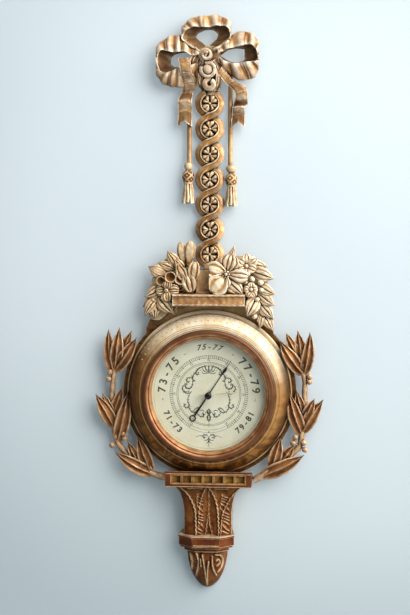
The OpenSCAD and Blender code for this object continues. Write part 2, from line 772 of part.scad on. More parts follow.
// The knot: a rolled ribbon rose, a wrapped bead under it and a volute that ends on the neck
knot_r = 12.5;
function roll_sections(x, z, r_from, r_to, from, to, wide, low, high_from, high_to, steps) =
  [for (i = [0:steps])
    let (
      t = i / steps,
      a = from + (to - from) * t,
      r = r_from + (r_to - r_from) * t,
      d = high_from + (high_to - high_from) * t
    )
    [for (e = [[-0.5, low], [-0.5, d - 1.5], [0, d], [0.5, d - 1.5], [0.5, low]])
      [x + (r + e[0] * wide) * cos(a), -e[1], z + (r + e[0] * wide) * sin(a)]]];
// Folds of ribbon that fall from the knot on both sides and hide the crest block
drape = [
  [-14, -6, -4, -10, 24], [-17.5, -18, -8, -18, 22], [-18.5, -32, -9, -32, 24],
  [-18, -44, -8, -46, 20], [-13, -52, -4, -54, 17]
];
function mirrored(rows) = [for (r = rows) [-r[2], r[3], -r[0], r[1], r[4]]];
module bow_knot() {
  color(gold) difference() {
    knot_body();
    bow_loop_left();
    bow_loop_right();
    neck();
  }
}
module knot_body() {
  on_wall() difference() {
    union() {
      chain_of(roll_sections(0, knot_z, 9.8, 3.4, 250, -320, 4.6, crest_d, 25, 33, 15));
      chain_of(tail_sections(drape, 11));
      chain_of(tail_sections(mirrored(drape), 11));
      at(0, knot_z) pin_out(10, crest_d, 22, $fn = 24);
      chain_of(roll_sections(1.5, knot_z - 21, 10.5, 10.5, 100, -200, 5, crest_d, 24, 27, 8));
      bead(0.5, knot_z - 21, 8, crest_d + 3);
      at(0.5, knot_z - 21) pin_out(10, crest_d, 18, $fn = 24);
      chain_of(roll_sections(0.5, knot_z - 43, 10.4, 3, 60, 500, 5, 12, 24, 29, 13));
      at(0.5, knot_z - 43) pin_out(9, 12, 20, $fn = 24);
    }
    translate([-40, -12, crest_z - 80]) cube([80, 60, 80]);
    translate([-crest_half, -crest_d, crest_z]) cube([2 * crest_half, 40, crest_h]);
  }
}

// Rows of a tail: left edge x, left edge z, right edge x, right edge z, depth
function tail_sections(rows, thick) =
  let (curve = smooth(rows, 2))
  [for (r = curve)
    [[r[0], -r[4] + thick, r[1] + knot_z], [r[0], -r[4] + 0.8, r[1] + knot_z],
     [(r[0] + r[2]) / 2, -r[4], (r[1] + r[3]) / 2 + knot_z],
     [r[2], -r[4] + 0.8, r[3] + knot_z], [r[2], -r[4] + thick, r[3] + knot_z]]];
left_tail = [
  [-45, -6, -27, -6, 31], [-44, -16, -27, -16, 32], [-42, -28, -25, -28, 29], [-41, -37, -20, -36, 22],
  [-40, -48, -20, -48, 16], [-42, -56, -25, -57, 12], [-47, -68, -26, -68, 19], [-47, -82, -26, -82, 13],
  [-48, -96, -26, -96, 18]
];
right_tail = [
  [13, -28, 19, -18, 24], [18, -36, 27, -28, 24], [27, -45, 37, -38, 22], [37, -54, 54, -48, 24],
  [38, -64, 56, -64, 20], [35, -72, 56, -72, 12], [34, -78, 52, -77, 20], [33, -88, 52, -88, 14],
  [32, -98, 52, -98, 18]
];
module carved_tail(rows, tip_drop) {
  last = rows[len(rows) - 1];
  mid = (last[0] + last[2]) / 2;
  color(gold) on_wall() difference() {
    union() {
      chain_of(tail_sections(rows, 8.4));
      for (x = [last[0], last[2]]) solid_round([
        [x, -last[4] + 7, last[1] + knot_z], [x, -last[4] + 1, last[1] + knot_z],
        [mid, -last[4] + 7, last[1] + knot_z], [mid, -last[4] + 1, last[1] + knot_z],
        [x, -last[4] + 7, last[1] + knot_z - tip_drop], [x, -last[4] + 1, last[1] + knot_z - tip_drop]
      ]);
    }
    translate([-crest_half, -crest_d - 0.1, crest_z]) cube([2 * crest_half, 40, crest_h]);
    for (side = [-1, 1]) cord_body(side, 0.1);
  }
}
// A tail is cut back where a loop or the knot lies in front of it or behind it
module ribbon_tail_left() {
  color(gold) difference() {
    carved_tail(left_tail, 9);
    bow_loop_left();
  }
}
module ribbon_tail_right() {
  color(gold) difference() {
    carved_tail(right_tail, 8);
    bow_loop_right();
    bow_knot();
  }
}

// Cords hang a little forward from the bow to the tassels
cord_top = 14;
cord_end_left = first_roundel_z + 2 * roundel_pitch + tassel_l + 1.2;
cord_end_right = cord_end_left - 4;
function cord_end(side) = side < 0 ? cord_end_left : cord_end_right;
module cord_body(side, extra) {
  low = cord_end(side);
  long = knot_z - cord_top - low;
  translate([side * cord_x, -10, low]) rotate([-atan2(5.5, long), 0, 0])
    cylinder(r = cord_r + extra, h = norm([5.5, long]), $fn = 24);
}
module carved_cord(side) {
  color(dark_gold) on_wall() difference() {
    cord_body(side, 0);
    translate([-60, -60, cord_end(side) - 10]) cube([120, 80, 10]);
  }
}
module carved_cord_left() {
  carved_cord(-1);
}
module carved_cord_right() {
  carved_cord(1);
}
// A tassel: a turned knob and netted head over a skirt of ten strands, cut flat at the back.
// Its foot stands beside a roundel, where the neck is widest and carries it.
module tassel(side) {
  z = cord_end(side);
  color(gold) on_wall() difference() {
    translate([side * (cord_x + 1.6), -11, z]) {
      rotate_extrude($fn = 12) polygon([
        [0, 0], [4.4, 0], [6.4, -4], [5.8, -9], [3.6, -11.6], [7.8, -15.5], [9.2, -20.5],
        [8.6, -26], [6.8, -30], [7.2, -32], [0, -32]
      ]);
      for (a = [0:36:324]) rotate([0, 0, a]) solid_round([
        [6, -1.6, -29], [6, 1.6, -29], [0, 0, -29],
        [6.8, -2.9, -tassel_l], [6.8, 2.9, -tassel_l], [9.6, 0, -tassel_l], [0, 0, -tassel_l]
      ]);
    }
    translate([-80, 0, z - 100]) cube([160, 40, 140]);
  }
}
module tassel_left() {
  tassel(-1);
}
module tassel_right() {
  tassel(1);
}

// Bouquets: leaves and blossoms on a low ground, laid out from the middle of the lintel's top

module bouquet_ground(side) {
  between(board_t, board_t + 8) polygon([
    [side * 20, 0], [side * 20, 30], [side * 30, 46], [side * 50, 46], [side * 70, 32], [side * 80, 16],
    [side * 86, 0], [side * 88, -34], [side * 74, -40], [side * 57, -18], [side * 57, 0]
  ]);
}
// What the bouquets are carved to fit round: the ring, the lintel, the neck and its base
module bouquet_clearance() {
  turned() translate([0, board_t]) square([ring_r + 0.6, 60]);
  translate([-lintel_w / 2, -60, lintel_z]) cube([lintel_w, 60 - board_t, lintel_h]);
  between(board_t, 30) translate([-19, neck_base_z]) square([38, neck_base_h]);
  at(0, first_roundel_z) pin_out(roundel_r + strap_w + 0.4, 0, 60);
  translate([-120, -board_t, 0]) cube([240, 40, 400]);
}
module bouquet_left() {
  color(gold) on_wall() difference() {
    at(0, neck_base_z) {
      bouquet_ground(-1);
      leaf_to([-36, 42], [-41, 78], 11, 24, 4);
      leaf_to([-30, 42], [-27, 79], 13, 27, 4);
      leaf_to([-49, 42], [-67, 65], 13, 26, 5);
      leaf_to([-58, 36], [-78, 47], 10, 23, 4, 25);
      leaf_to([-70, 26], [-91, 42], 14, 24, 5);
      leaf_to([-43, 34], [-48, 58], 14, 24, 5);
      leaf_to([-82, 3], [-100, -6], 14, 24, 4, -30);
      leaf_to([-80, -22], [-101, -41], 12, 22, 4, 20);
      leaf_to([-78, -4], [-91, -34], 11, 25, 5);
      leaf_to([-82, -6], [-95, -30], 9, 22, 5, 20);
      leaf_to([-80, -8], [-52, -29], 19, 28, 6, 10);
      leaf_to([-60, -8], [-50, -31], 8, 25, 3);
      petal_to([-26, 20], [-20, 48], 17, 33, 5);
      petal_to([-36, 38], [-28, 4], 20, 31, 5);
      petal_to([-50, 44], [-34, 20], 12, 33, 4);
      bell(-57, 26, 8, 38);
      bell(-41, 24, 8, 38);
      bell(-73, 19, 7, 34);
      petal_to([-64, 6], [-61, 18], 11, 34, 3);
      petal_to([-65, 6], [-81, 3], 14, 31, 3);
      petal_to([-64, 4], [-61, -12], 15, 35, 3);
      petal_to([-62, 6], [-43, 4], 15, 34, 3);
      berry(-64, 6, 3, 37, 20);
      berry(-84, -12, 3, 26, 20);
    }
    bouquet_clearance();
  }
}
module bouquet_right() {
  color(gold) on_wall() difference() {
    at(0, neck_base_z) {
      bouquet_ground(1);
      leaf_to([27, 42], [38, 72], 9, 24, 2);
      leaf_to([46, 40], [37, 58], 8, 28, 3);
      leaf_to([72, 28], [99, 22], 17, 28, 6, -12);
      leaf_to([80, 13], [101, -2], 13, 28, 5, 15);
      leaf_to([80, -2], [99, -18], 15, 27, 5);
      leaf_to([69, -6], [62, -34], 20, 28, 6);
      leaf_to([31, 20], [56, -1], 18, 34, 5, 0, 12);
      leaf_to([83, -20], [95, -41], 15, 25, 5);
      leaf_to([84, -34], [96, -56], 12, 23, 4);
      petal_to([25, 30], [0, 40], 20, 38, 4);
      petal_to([25, 28], [9, 4], 26, 38, 4);
      petal_to([28, 32], [34, 60], 24, 36, 4);
      petal_to([30, 30], [62, 27], 17, 38, 4);
      petal_to([26, 28], [25, 12], 9, 38, 3);
      berry(26, 30, 5, 40, 20);
      for (p = [[60, 62, 12], [72, 58, 11], [48, 56, 11], [54, 26, 12], [68, 26, 12], [80, 38, 11]]) {
        petal_to([62, 40], [p[0], p[1]], p[2], 35, 4);
      }
      berry(62, 40, 3.4, 37, 20);
      for (p = [[62, 17, 5], [60, 5, 4.4], [79, 5, 5.2], [78, 15, 4.6], [71, 9, 4.4], [68, 0, 4]]) {
        berry(p[0], p[1], p[2], 32, 20);
      }
      berry(74, -34, 4.6, 24, 18);
    }
    bouquet_clearance();
  }
}

// Laurel: a stem on an arc round the case, in degrees up from the bottom, with leaves along it
laurel_r = ring_r + laurel_gap;
// Rows of a stem: place, how far it swings out there
left_stem = [
  [27, 2], [34, 6.5], [43, 10], [55, 13.5], [61, 14.5], [69, 9], [79, 4.7], [92, 0.7], [103, 1.4], [115, 1.4]
];
right_stem = [
  [27, 4], [33, 3], [39, 3], [46, 6.5], [54, 8.5], [59, 12.5], [66, 6], [73, 2.6], [82, -1.8],
  [90, -3.8], [96, -2.7], [103, -2], [115, -1.5]
];
function stem_radius(side, a) = laurel_r + lookup(a, side < 0 ? left_stem : right_stem);
function stem_point(side, a) = stem_radius(side, a) * [side * sin(a), -cos(a)];
// Rows of leaves: place along the stem, length, turn outwards, width, lift, bend
left_leaves = [
  [101, 67, 17, 14, 7, -14], [103, 66, 5, 15, 12, 8], [107, 56, -9, 13, 7, 8], [102, 64, -22, 16, 11, 12],
  [69, 59, 7, 16, 9, 16], [75, 40, 7, 11, 6, 12], [61, 82, -42, 17, 12, 14], [76, 47, -34, 12, 7, 8],
  [34, 68, 3, 16, 10, -10], [36, 62, -36, 16, 10, 8], [42, 45, -22, 11, 7, 0]
];
right_leaves = [
  [101.5, 64, -23, 16, 11, 12], [109, 51, -8, 12, 7, 0], [103, 64, 5, 15, 8, 0],
  [101.5, 66, 19, 14, 12, -14], [66, 68, -41, 16, 11, 12], [75, 46, -31, 12, 7, 8],
  [67, 60, 8, 16, 9, 16], [74, 38, 7, 12, 10, 10], [39, 53, -36, 15, 10, 0],
  [43, 42, -11, 14, 7, 0], [32, 72, 4, 17, 10, -6]
];
// Rows of berries: place, distance from the middle of the stem
left_berries = [[101.1, 5.9], [97.1, 6.3], [64, -12.6], [60.9, -13.3], [60.9, 8.8]];
right_berries = [[99.8, 7.8], [96.9, 6.9], [62.8, -10.2], [59.2, -12.2], [62.2, 4.6], [59.3, 8.6]];
module laurel(side, leaves, berries) {
  color(gold) on_wall() difference() {
    union() {
      chain_of([for (a = [23:9.2:115])
        let (p = stem_point(side, a), w = stem_r * (1.1 - a / 250), o = [side * sin(a), -cos(a)])
        [for (e = [[-1, -0.6], [-0.8, 0.8], [0.8, 0.8], [1, -0.6]])
          [p[0] + o[0] * e[0] * w, -12 - e[1] * w * 1.3, p[1] + o[1] * e[0] * w]]]);
      for (l = leaves) {
        p = stem_point(side, l[0]);
        grow = side > 0 ? l[0] - l[2] : 180 - l[0] + l[2];
        leaf(p[0], p[1], grow + side * l[5] / 2, l[1], l[3], 16.5, l[4], 1, -side * l[5]);
      }
      for (b = berries) {
        r = stem_radius(side, b[0]) + b[1];
        bead(side * r * sin(b[0]), -r * cos(b[0]), 4.4, 17);
        solid_round([for (k = [0, 1], e = [-1.3, 1.3], f = [-1.3, 1.3])
          let (q = stem_radius(side, b[0]) + k * b[1])
          [side * q * sin(b[0]) + e, -14 + f, -q * cos(b[0]) + e * side]]);
      }
    }
    translate([-300, 0, -300]) cube([600, 60, 600]);
    between(-1, board_t) circle(board_r);
    turned() square([ring_r + 0.4, 60]);
    frieze_envelope();
  }
}
module laurel_left() {
  laurel(-1, left_leaves, left_berries);
}
module laurel_right() {
  laurel(1, right_leaves, right_berries);
}

// Pieces under the dial

module frieze_envelope() {
  translate([-frieze_w / 2, -frieze_d, console_z]) cube([frieze_w, frieze_d, frieze_h]);
}
module frieze_block() {
  panel_w = frieze_w - 18;
  panel_h = frieze_h - 11;
  flutes = 7;
  pitch = panel_w / flutes;
  color(dark_gold) on_wall() difference() {
    frieze_envelope();
    turned() ring_profile(0);
    board_body(-1, board_t);
    // Its top falls towards the wall
    translate([-frieze_w, -frieze_d, frieze_z]) rotate([-14, 0, 0]) cube([2 * frieze_w, 2 * frieze_d, 40]);
    translate([-panel_w / 2, -frieze_d - 1, console_z + 5]) cube([panel_w, 2.6, panel_h]);
    for (i = [0:flutes - 1]) translate([-panel_w / 2 + pitch * (i + 0.5), -frieze_d + 1, console_z + 6])
      cylinder(r = pitch / 2 - 1.6, h = panel_h - 2);
  }
}
// The console's front and side outlines, each with its hollow curve.
// Like its band and the pendant it was set a little left of the middle.
console_top_half = console_half + 16;
console_x = -1.5;
band_x = -4;
module console_front() {
  polygon(concat(
    [[-console_half, 0], [console_half, 0]],
    arc(console_top_half + 2, console_h - 48, 18, 46, 180, 100, 8),
    [[console_top_half, console_h], [-console_top_half, console_h]],
    arc(-console_top_half - 2, console_h - 48, 18, 46, 80, 0, 8)
  ));
}
module console() {
  front = frieze_d - 5;
  color(dark_gold) on_wall() difference() {
    at(console_x, 0) union() {
      intersection() {
        translate([0, 0, band_z]) between(0, front) console_front();
        translate([-80, 0, band_z]) rotate([90, 0, 90]) linear_extrude(160) polygon(concat(
          [[0, 0], [-front + 8, 0]],
          arc(-front - 10, console_h - 40, 18, 38, 0, 75, 6),
          [[-front, console_h], [0, console_h]]
        ));
      }
      at(0, band_z) {
        leaf(0, -2, 90, console_h + 2, 34, front - 4, 2, 6, 0, 0.62);
        for (side = [-1, 1]) {
          leaf(side * 26, -2, 90, console_h - 2, 22, front - 6, 3, 6, -side * 28, 0.8);
          leaf(side * 22, console_h, -90, 26, 13, front - 2, 1, 6, 0, 0.6);
        }
      }
    }
    board_body(-1, board_t);
    frieze_envelope();
    translate([-80, -80, band_z - 10]) cube([160, 80, 10]);
  }
}
// Plan of the band: a wall piece with canted front corners
module canted(half, front, corner) {
  flat = half - corner * 1.4;
  polygon([
    [-half + 4, 0], [half - 4, 0], [half, -front + corner],
    [flat, -front], [-flat, -front], [-half, -front + corner]
  ]);
}
module console_band() {
  half = console_half + 7;
  front = frieze_d - 6;
  color(dark_gold) on_wall() translate([band_x, 0, band_z - band_h - 6]) {
    linear_extrude(6) canted(half - 9, front - 8, 12);
    translate([0, 0, 6]) linear_extrude(3) canted(half - 3, front - 3, 14);
    translate([0, 0, 9]) linear_extrude(band_h - 7) canted(half - 1, front - 1, 15);
    translate([0, 0, band_h + 2]) linear_extrude(4) canted(half, front, 15);
  }
}
// The pendant: a pointed bud with acanthus leaves that fold down over it
module pendant() {
  half = console_half - 5;
  front = frieze_d - 16;
  rows = [for (t = [0, 0.2, 0.4, 0.6, 0.8, 0.93, 1])
    let (w = sqrt(1 - pow(t, 2.2)) * (1 - 0.06 * t) + 0.02)
    [for (a = [0:30:180]) [half * w * cos(a), -front * w * sin(a), pendant_z - pendant_h * t]]];
  color(dark_gold) on_wall() at(band_x, 0) {
    chain_of(rows);
    for (x = [-1, 0, 1]) intersection() {
      long = pendant_h * (x == 0 ? 0.94 : 0.8);
      leaf(x * 14, pendant_z, -90, long, 16, front - abs(x) * 3, 5 - abs(x), 6, x * 14, 0.7);
      translate([-60, -80, pendant_z - 80]) cube([120, 80, 80]);
    }
  }
}

backboard();
case_ring();
bezel();
glass();
glass_bush();
set_knob();
set_hand();
pressure_hand();
dial_plate();
sight_ring();
movement_case();
base_plate();
base_screws();
dial_pillars();
capsule();
capsule_post();
bridge();
main_spring();
spring_screws();
lever_arm();
rocking_shaft();
shaft_cocks();
chain();
hand_arbor();
lower_cock();
upper_cock();
lower_pillars();
upper_pillars();
hairspring();
adjusting_screw();
lintel();
neck();
neck_base();
crest_block();
bow_knot();
bow_loop_top();
bow_loop_left();
bow_loop_right();
ribbon_tail_left();
ribbon_tail_right();
carved_cord_left();
carved_cord_right();
tassel_left();
tassel_right();
bouquet_left();
bouquet_right();
laurel_left();
laurel_right();
frieze_block();
console();
console_band();
pendant();
hanger_plate();
hanger_screws();
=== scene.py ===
import math

import bmesh
import bpy
import numpy as np
from mathutils import Matrix, Vector


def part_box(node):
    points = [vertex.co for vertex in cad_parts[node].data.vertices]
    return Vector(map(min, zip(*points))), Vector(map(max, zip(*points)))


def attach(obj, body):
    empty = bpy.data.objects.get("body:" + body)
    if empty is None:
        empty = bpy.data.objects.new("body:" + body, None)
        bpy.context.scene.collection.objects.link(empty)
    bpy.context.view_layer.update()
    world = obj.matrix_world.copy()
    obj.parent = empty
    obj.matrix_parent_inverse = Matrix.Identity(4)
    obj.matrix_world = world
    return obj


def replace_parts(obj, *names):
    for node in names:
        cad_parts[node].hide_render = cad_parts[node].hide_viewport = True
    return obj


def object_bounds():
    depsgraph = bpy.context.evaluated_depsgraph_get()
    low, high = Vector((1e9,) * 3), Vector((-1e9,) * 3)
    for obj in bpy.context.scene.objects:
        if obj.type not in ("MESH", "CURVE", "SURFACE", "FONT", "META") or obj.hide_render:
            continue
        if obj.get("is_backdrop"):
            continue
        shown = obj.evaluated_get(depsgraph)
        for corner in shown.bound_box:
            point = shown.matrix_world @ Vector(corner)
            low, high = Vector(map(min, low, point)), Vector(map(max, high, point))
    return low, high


# Carved and gilded wall barometer. Its shapes are laid out in millimetres from the centre of the dial, as
# in the CAD source: x to the right, a depth in front of the wall, z up. Materials, lights, the wall and
# the camera are in metres from the hanging point, as the frame is.
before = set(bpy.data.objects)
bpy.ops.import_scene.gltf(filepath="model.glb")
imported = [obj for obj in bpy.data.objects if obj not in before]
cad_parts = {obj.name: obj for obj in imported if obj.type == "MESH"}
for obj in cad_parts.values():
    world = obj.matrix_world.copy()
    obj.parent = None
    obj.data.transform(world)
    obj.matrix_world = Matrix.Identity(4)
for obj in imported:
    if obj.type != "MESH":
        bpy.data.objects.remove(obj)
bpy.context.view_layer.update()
scene = bpy.context.scene
# Height of the hanging point over the centre of the dial
HANG = 479.8

# Camera, as the photograph was taken: a little from the right and from above
aim = Vector((-0.0065, -0.020, -0.3501))
turn, rise, distance = math.radians(4), math.radians(6), 1.9
back_way = Vector((math.sin(turn) * math.cos(rise), -math.cos(turn) * math.cos(rise), math.sin(rise)))
camera_data = bpy.data.cameras.new("camera")
camera_data.lens = 74.15
camera_data.sensor_width = 36
camera = bpy.data.objects.new("camera", camera_data)
camera.location = aim + back_way * distance
camera.rotation_euler = (-back_way).to_track_quat("-Z", "Y").to_euler()
scene.collection.objects.link(camera)
scene.camera = camera

# Sizes shared with the CAD source
RING_R, RING_BORE, RING_D, BOARD_T = 125.3, 98.8, 46.4, 14
LINTEL_Z, LINTEL_H = 133.5, 18
NECK_BASE_Z = LINTEL_Z + LINTEL_H
ROUNDELS, PITCH, ROUNDEL_R, STRAP_W = 7, 37.3, 12.4, 9.6
LAST_ROUNDEL_Z = 432.8
FIRST_ROUNDEL_Z = LAST_ROUNDEL_Z - (ROUNDELS - 1) * PITCH
CREST_Z, CREST_D = 455.8, 14
KNOT_Z = CREST_Z + 48
RIBBON_T = 4
CORD_X = 30.5
CORD_END = {-1: FIRST_ROUNDEL_Z + 2 * PITCH + 62.2, 1: FIRST_ROUNDEL_Z + 2 * PITCH + 58.2}
TASSEL_L = 61
FRIEZE_D = 48
BAND_Z, BAND_H = -216.7, 20
CONSOLE_H, CONSOLE_HALF, CONSOLE_X, BAND_X = 78, 36, -1.5, -4
PENDANT_Z, PENDANT_H = -242.7, 64
DIAL_FRONT = 30.8
LAUREL_R = RING_R + 22


def metres(x, depth, z):
    """A place in the frame, in metres from the hanging point."""
    return x / 1000, -depth / 1000, (z - HANG) / 1000


# Mesh building

def smooth(rows, steps):
    """A smooth curve through rows of numbers, with some steps between each two rows."""
    rows = np.array(rows, float)
    last = len(rows) - 1
    made = []
    for i in range(last):
        p0, p1, p2, p3 = rows[max(i - 1, 0)], rows[i], rows[i + 1], rows[min(i + 2, last)]
        for s in range(steps):
            t = s / steps
            made.append(0.5 * (2 * p1 + (p2 - p0) * t + (2 * p0 - 5 * p1 + 4 * p2 - p3) * t * t
                               + (3 * p1 - p0 - 3 * p2 + p3) * t ** 3))
    made.append(rows[-1])
    return np.array(made)


def step(low, high, value):
    """0 at low, 1 at high and a soft slope between them."""
    t = np.clip((np.asarray(value, float) - low) / (high - low), 0, 1)
    return t * t * (3 - 2 * t)


def bump(value, centre, width):
    """1 at a centre, falling to 0 on both sides of it."""
    return np.exp(-((np.asarray(value, float) - centre) / width) ** 2)


def grid_faces(rows, columns, wrap=False):
    faces = []
    for i in range(rows - 1):
        for j in range(columns if wrap else columns - 1):
            k = (j + 1) % columns
            faces.append((i * columns + j, (i + 1) * columns + j, (i + 1) * columns + k, i * columns + k))
    return faces


class Carving:
    """Collects skins. Each point is x, depth and z; high tells the gilding where a crest or a groove is, and
    the gilding paints crests light and grooves dark, partly as painted highlight and shade.
    """

    def __init__(self):
        self.points, self.high, self.faces, self.count = [], [], [], 0

    def add(self, points, high, faces):
        points = np.asarray(points, float).reshape(-1, 3)
        self.points.append(points)
        self.high.append(np.broadcast_to(np.ravel(high), (len(points),)))
        self.faces += [tuple(i + self.count for i in f) for f in faces]
        self.count += len(points)

    def shell(self, front, back, high):
        """A closed skin over two grids of the same shape."""
        rows, columns = front.shape[:2]
        size = rows * columns
        faces = grid_faces(rows, columns)
        faces += [tuple(reversed([i + size for i in f])) for f in grid_faces(rows, columns)]
        rim = list(range(columns))
        rim += [i * columns + columns - 1 for i in range(1, rows)]
        rim += [(rows - 1) * columns + j for j in range(columns - 2, -1, -1)]
        rim += [i * columns for i in range(rows - 2, 0, -1)]
        for i, a in enumerate(rim):
            b = rim[(i + 1) % len(rim)]
            faces.append((a, b, b + size, a + size))
        high = np.broadcast_to(high, (rows, columns))
        # The back skin gets 0.4 of the front's high, so the gilding paints it darker, as shade behind the
        # front
        self.add(np.concatenate([front.reshape(-1, 3), back.reshape(-1, 3)]),
                 np.concatenate([high.ravel(), high.ravel() * 0.4]), faces)

    def loft(self, sections, high=0.6):
        """A closed skin through closed sections with the same number of points, capped at both ends."""
        sections = np.asarray(sections, float)
        rows, columns = sections.shape[:2]
        faces = grid_faces(rows, columns, True)
        faces.append(tuple(range(columns)))
        faces.append(tuple(reversed(range((rows - 1) * columns, rows * columns))))
        self.add(sections, np.broadcast_to(high, (rows, columns)), faces)

    def turned(self, x, z, profile, around=24, high=0.6, lobes=0, lobe=0.0):
        """Turned about a line through the wall, from rows of radius and depth."""
        a = np.linspace(0, 2 * math.pi, around, endpoint=False)
        sections = []
        for r, d in profile:
            k = r * (1 + lobe * np.cos(lobes * a))
            sections.append(np.stack([x + k * np.cos(a), np.full(around, d), z + k * np.sin(a)], 1))
        self.loft(sections, high)

    def ball(self, x, z, r, depth, flat=1.0, around=16):
        a = np.linspace(-90, 90, around // 2 + 1) * math.pi / 180
        profile = [(max(r * math.cos(t), 0.02), depth + r * flat * math.sin(t)) for t in a]
        self.turned(x, z, profile, around, 0.8)

    def tube(self, path, radii, around=10, high=0.6):
        """A round rod along a path; radii and high may change along it."""
        path = np.asarray(path, float)
        radii = np.broadcast_to(radii, (len(path),))
        way = np.gradient(path, axis=0)
        way /= np.linalg.norm(way, axis=1)[:, None] + 1e-9
        side = np.cross(way, [0, 1, 0])
        side /= np.linalg.norm(side, axis=1)[:, None] + 1e-9
        up = np.cross(side, way)
        a = np.linspace(0, 2 * math.pi, around, endpoint=False)
        self.loft([p + r * (np.outer(np.cos(a), s) + np.outer(np.sin(a), u))
                   for p, r, s, u in zip(path, radii, side, up)], high)


def hand_cut(points, amount):
    """Small uneven waves, as a carver's tools leave."""
    x, d, z = points.T
    wave = (np.sin(0.41 * x + 0.23 * z + 0.3 * d) + np.sin(-0.19 * x + 0.47 * z + 1.3)
            + 0.6 * np.sin(0.93 * x - 0.71 * z + 2.1) + 0.6 * np.sin(0.83 * z + 0.9 * d))
    moved = points.copy()
    moved[:, 0] += amount * wave * np.cos(0.37 * z)
    moved[:, 1] += amount * 0.8 * np.sin(0.51 * x + 0.43 * z) * (d > 1)
    moved[:, 2] += amount * wave * np.sin(0.33 * x + 0.5)
    return moved


def added(name, mesh, material, crease):
    """Puts a finished mesh on the case as a piece with one material."""
    mesh.materials.clear()
    mesh.materials.append(material)
    mesh.shade_smooth()
    mesh.set_sharp_from_angle(angle=math.radians(crease))
    piece = bpy.data.objects.new(name, mesh)
    scene.collection.objects.link(piece)
    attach(piece, "case")
    return piece


def finished(name, carving, material, node, wobble=0.22):
    """Makes the collected skins one piece that stands for a CAD node and stays inside its box."""
    inside = 0.05
    points = hand_cut(np.concatenate(carving.points), wobble)
    first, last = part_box(node)
    low = np.array([first.x * 1000, -last.y * 1000, first.z * 1000 + HANG]) + inside
    high = np.array([last.x * 1000, -first.y * 1000, last.z * 1000 + HANG]) - inside
    points = np.clip(points, low, high)
    mesh = bpy.data.meshes.new(name)
    mesh.from_pydata(np.stack(metres(*points.T), 1).tolist(), [], carving.faces)
    mesh.attributes.new("high", "FLOAT", "POINT").data.foreach_set("value", np.concatenate(carving.high))
    work = bmesh.new()
    work.from_mesh(mesh)
    bmesh.ops.remove_doubles(work, verts=work.verts, dist=2e-7)
    bmesh.ops.recalc_face_normals(work, faces=work.faces)
    work.to_mesh(mesh)
    work.free()
    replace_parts(added(name, mesh, material, 48), node)


# Materials

class Tree:
    """Short calls for a node tree. A value is a number, a colour or another node's output."""

    def __init__(self, tree):
        self.tree = tree

    def new(self, kind, **settings):
        node = self.tree.nodes.new(kind)
        for key, value in settings.items():
            setattr(node, key, value)
        return node

    def link(self, source, target):
        self.tree.links.new(source, target)

    def put(self, value, socket):
        if isinstance(value, (int, float)):
            socket.default_value = value
        elif isinstance(value, tuple):
            colour = len(value) == 3 and len(socket.default_value) == 4
            socket.default_value = (*value, 1) if colour else value
        else:
            self.link(value, socket)

    def fed(self, kind, values, **settings):
        """The outputs of a new node whose inputs, by name or place, are given values."""
        node = self.new(kind, **settings)
        for key, value in values.items():
            self.put(value, node.inputs[key])
        return node.outputs

    def maths(self, operation, a, b=0.5):
        return self.fed("ShaderNodeMath", {0: a, 1: b}, operation=operation)[0]

    def plus(self, a, b):
        return self.maths("ADD", a, b)

    def minus(self, a, b):
        return self.maths("SUBTRACT", a, b)

    def times(self, a, b):
        return self.maths("MULTIPLY", a, b)

    def absolute(self, value):
        return self.maths("ABSOLUTE", value)

    def larger(self, a, b):
        return self.maths("MAXIMUM", a, b)

    def vector(self, x, y, z=0.0):
        return self.fed("ShaderNodeCombineXYZ", {0: x, 1: y, 2: z})[0]

    def parts(self, vector):
        """The x, y and z of a vector."""
        return self.fed("ShaderNodeSeparateXYZ", {0: vector})

    def mix(self, factor, a, b):
        return self.fed("ShaderNodeMix", {"Factor": factor, 6: a, 7: b}, data_type="RGBA")[2]


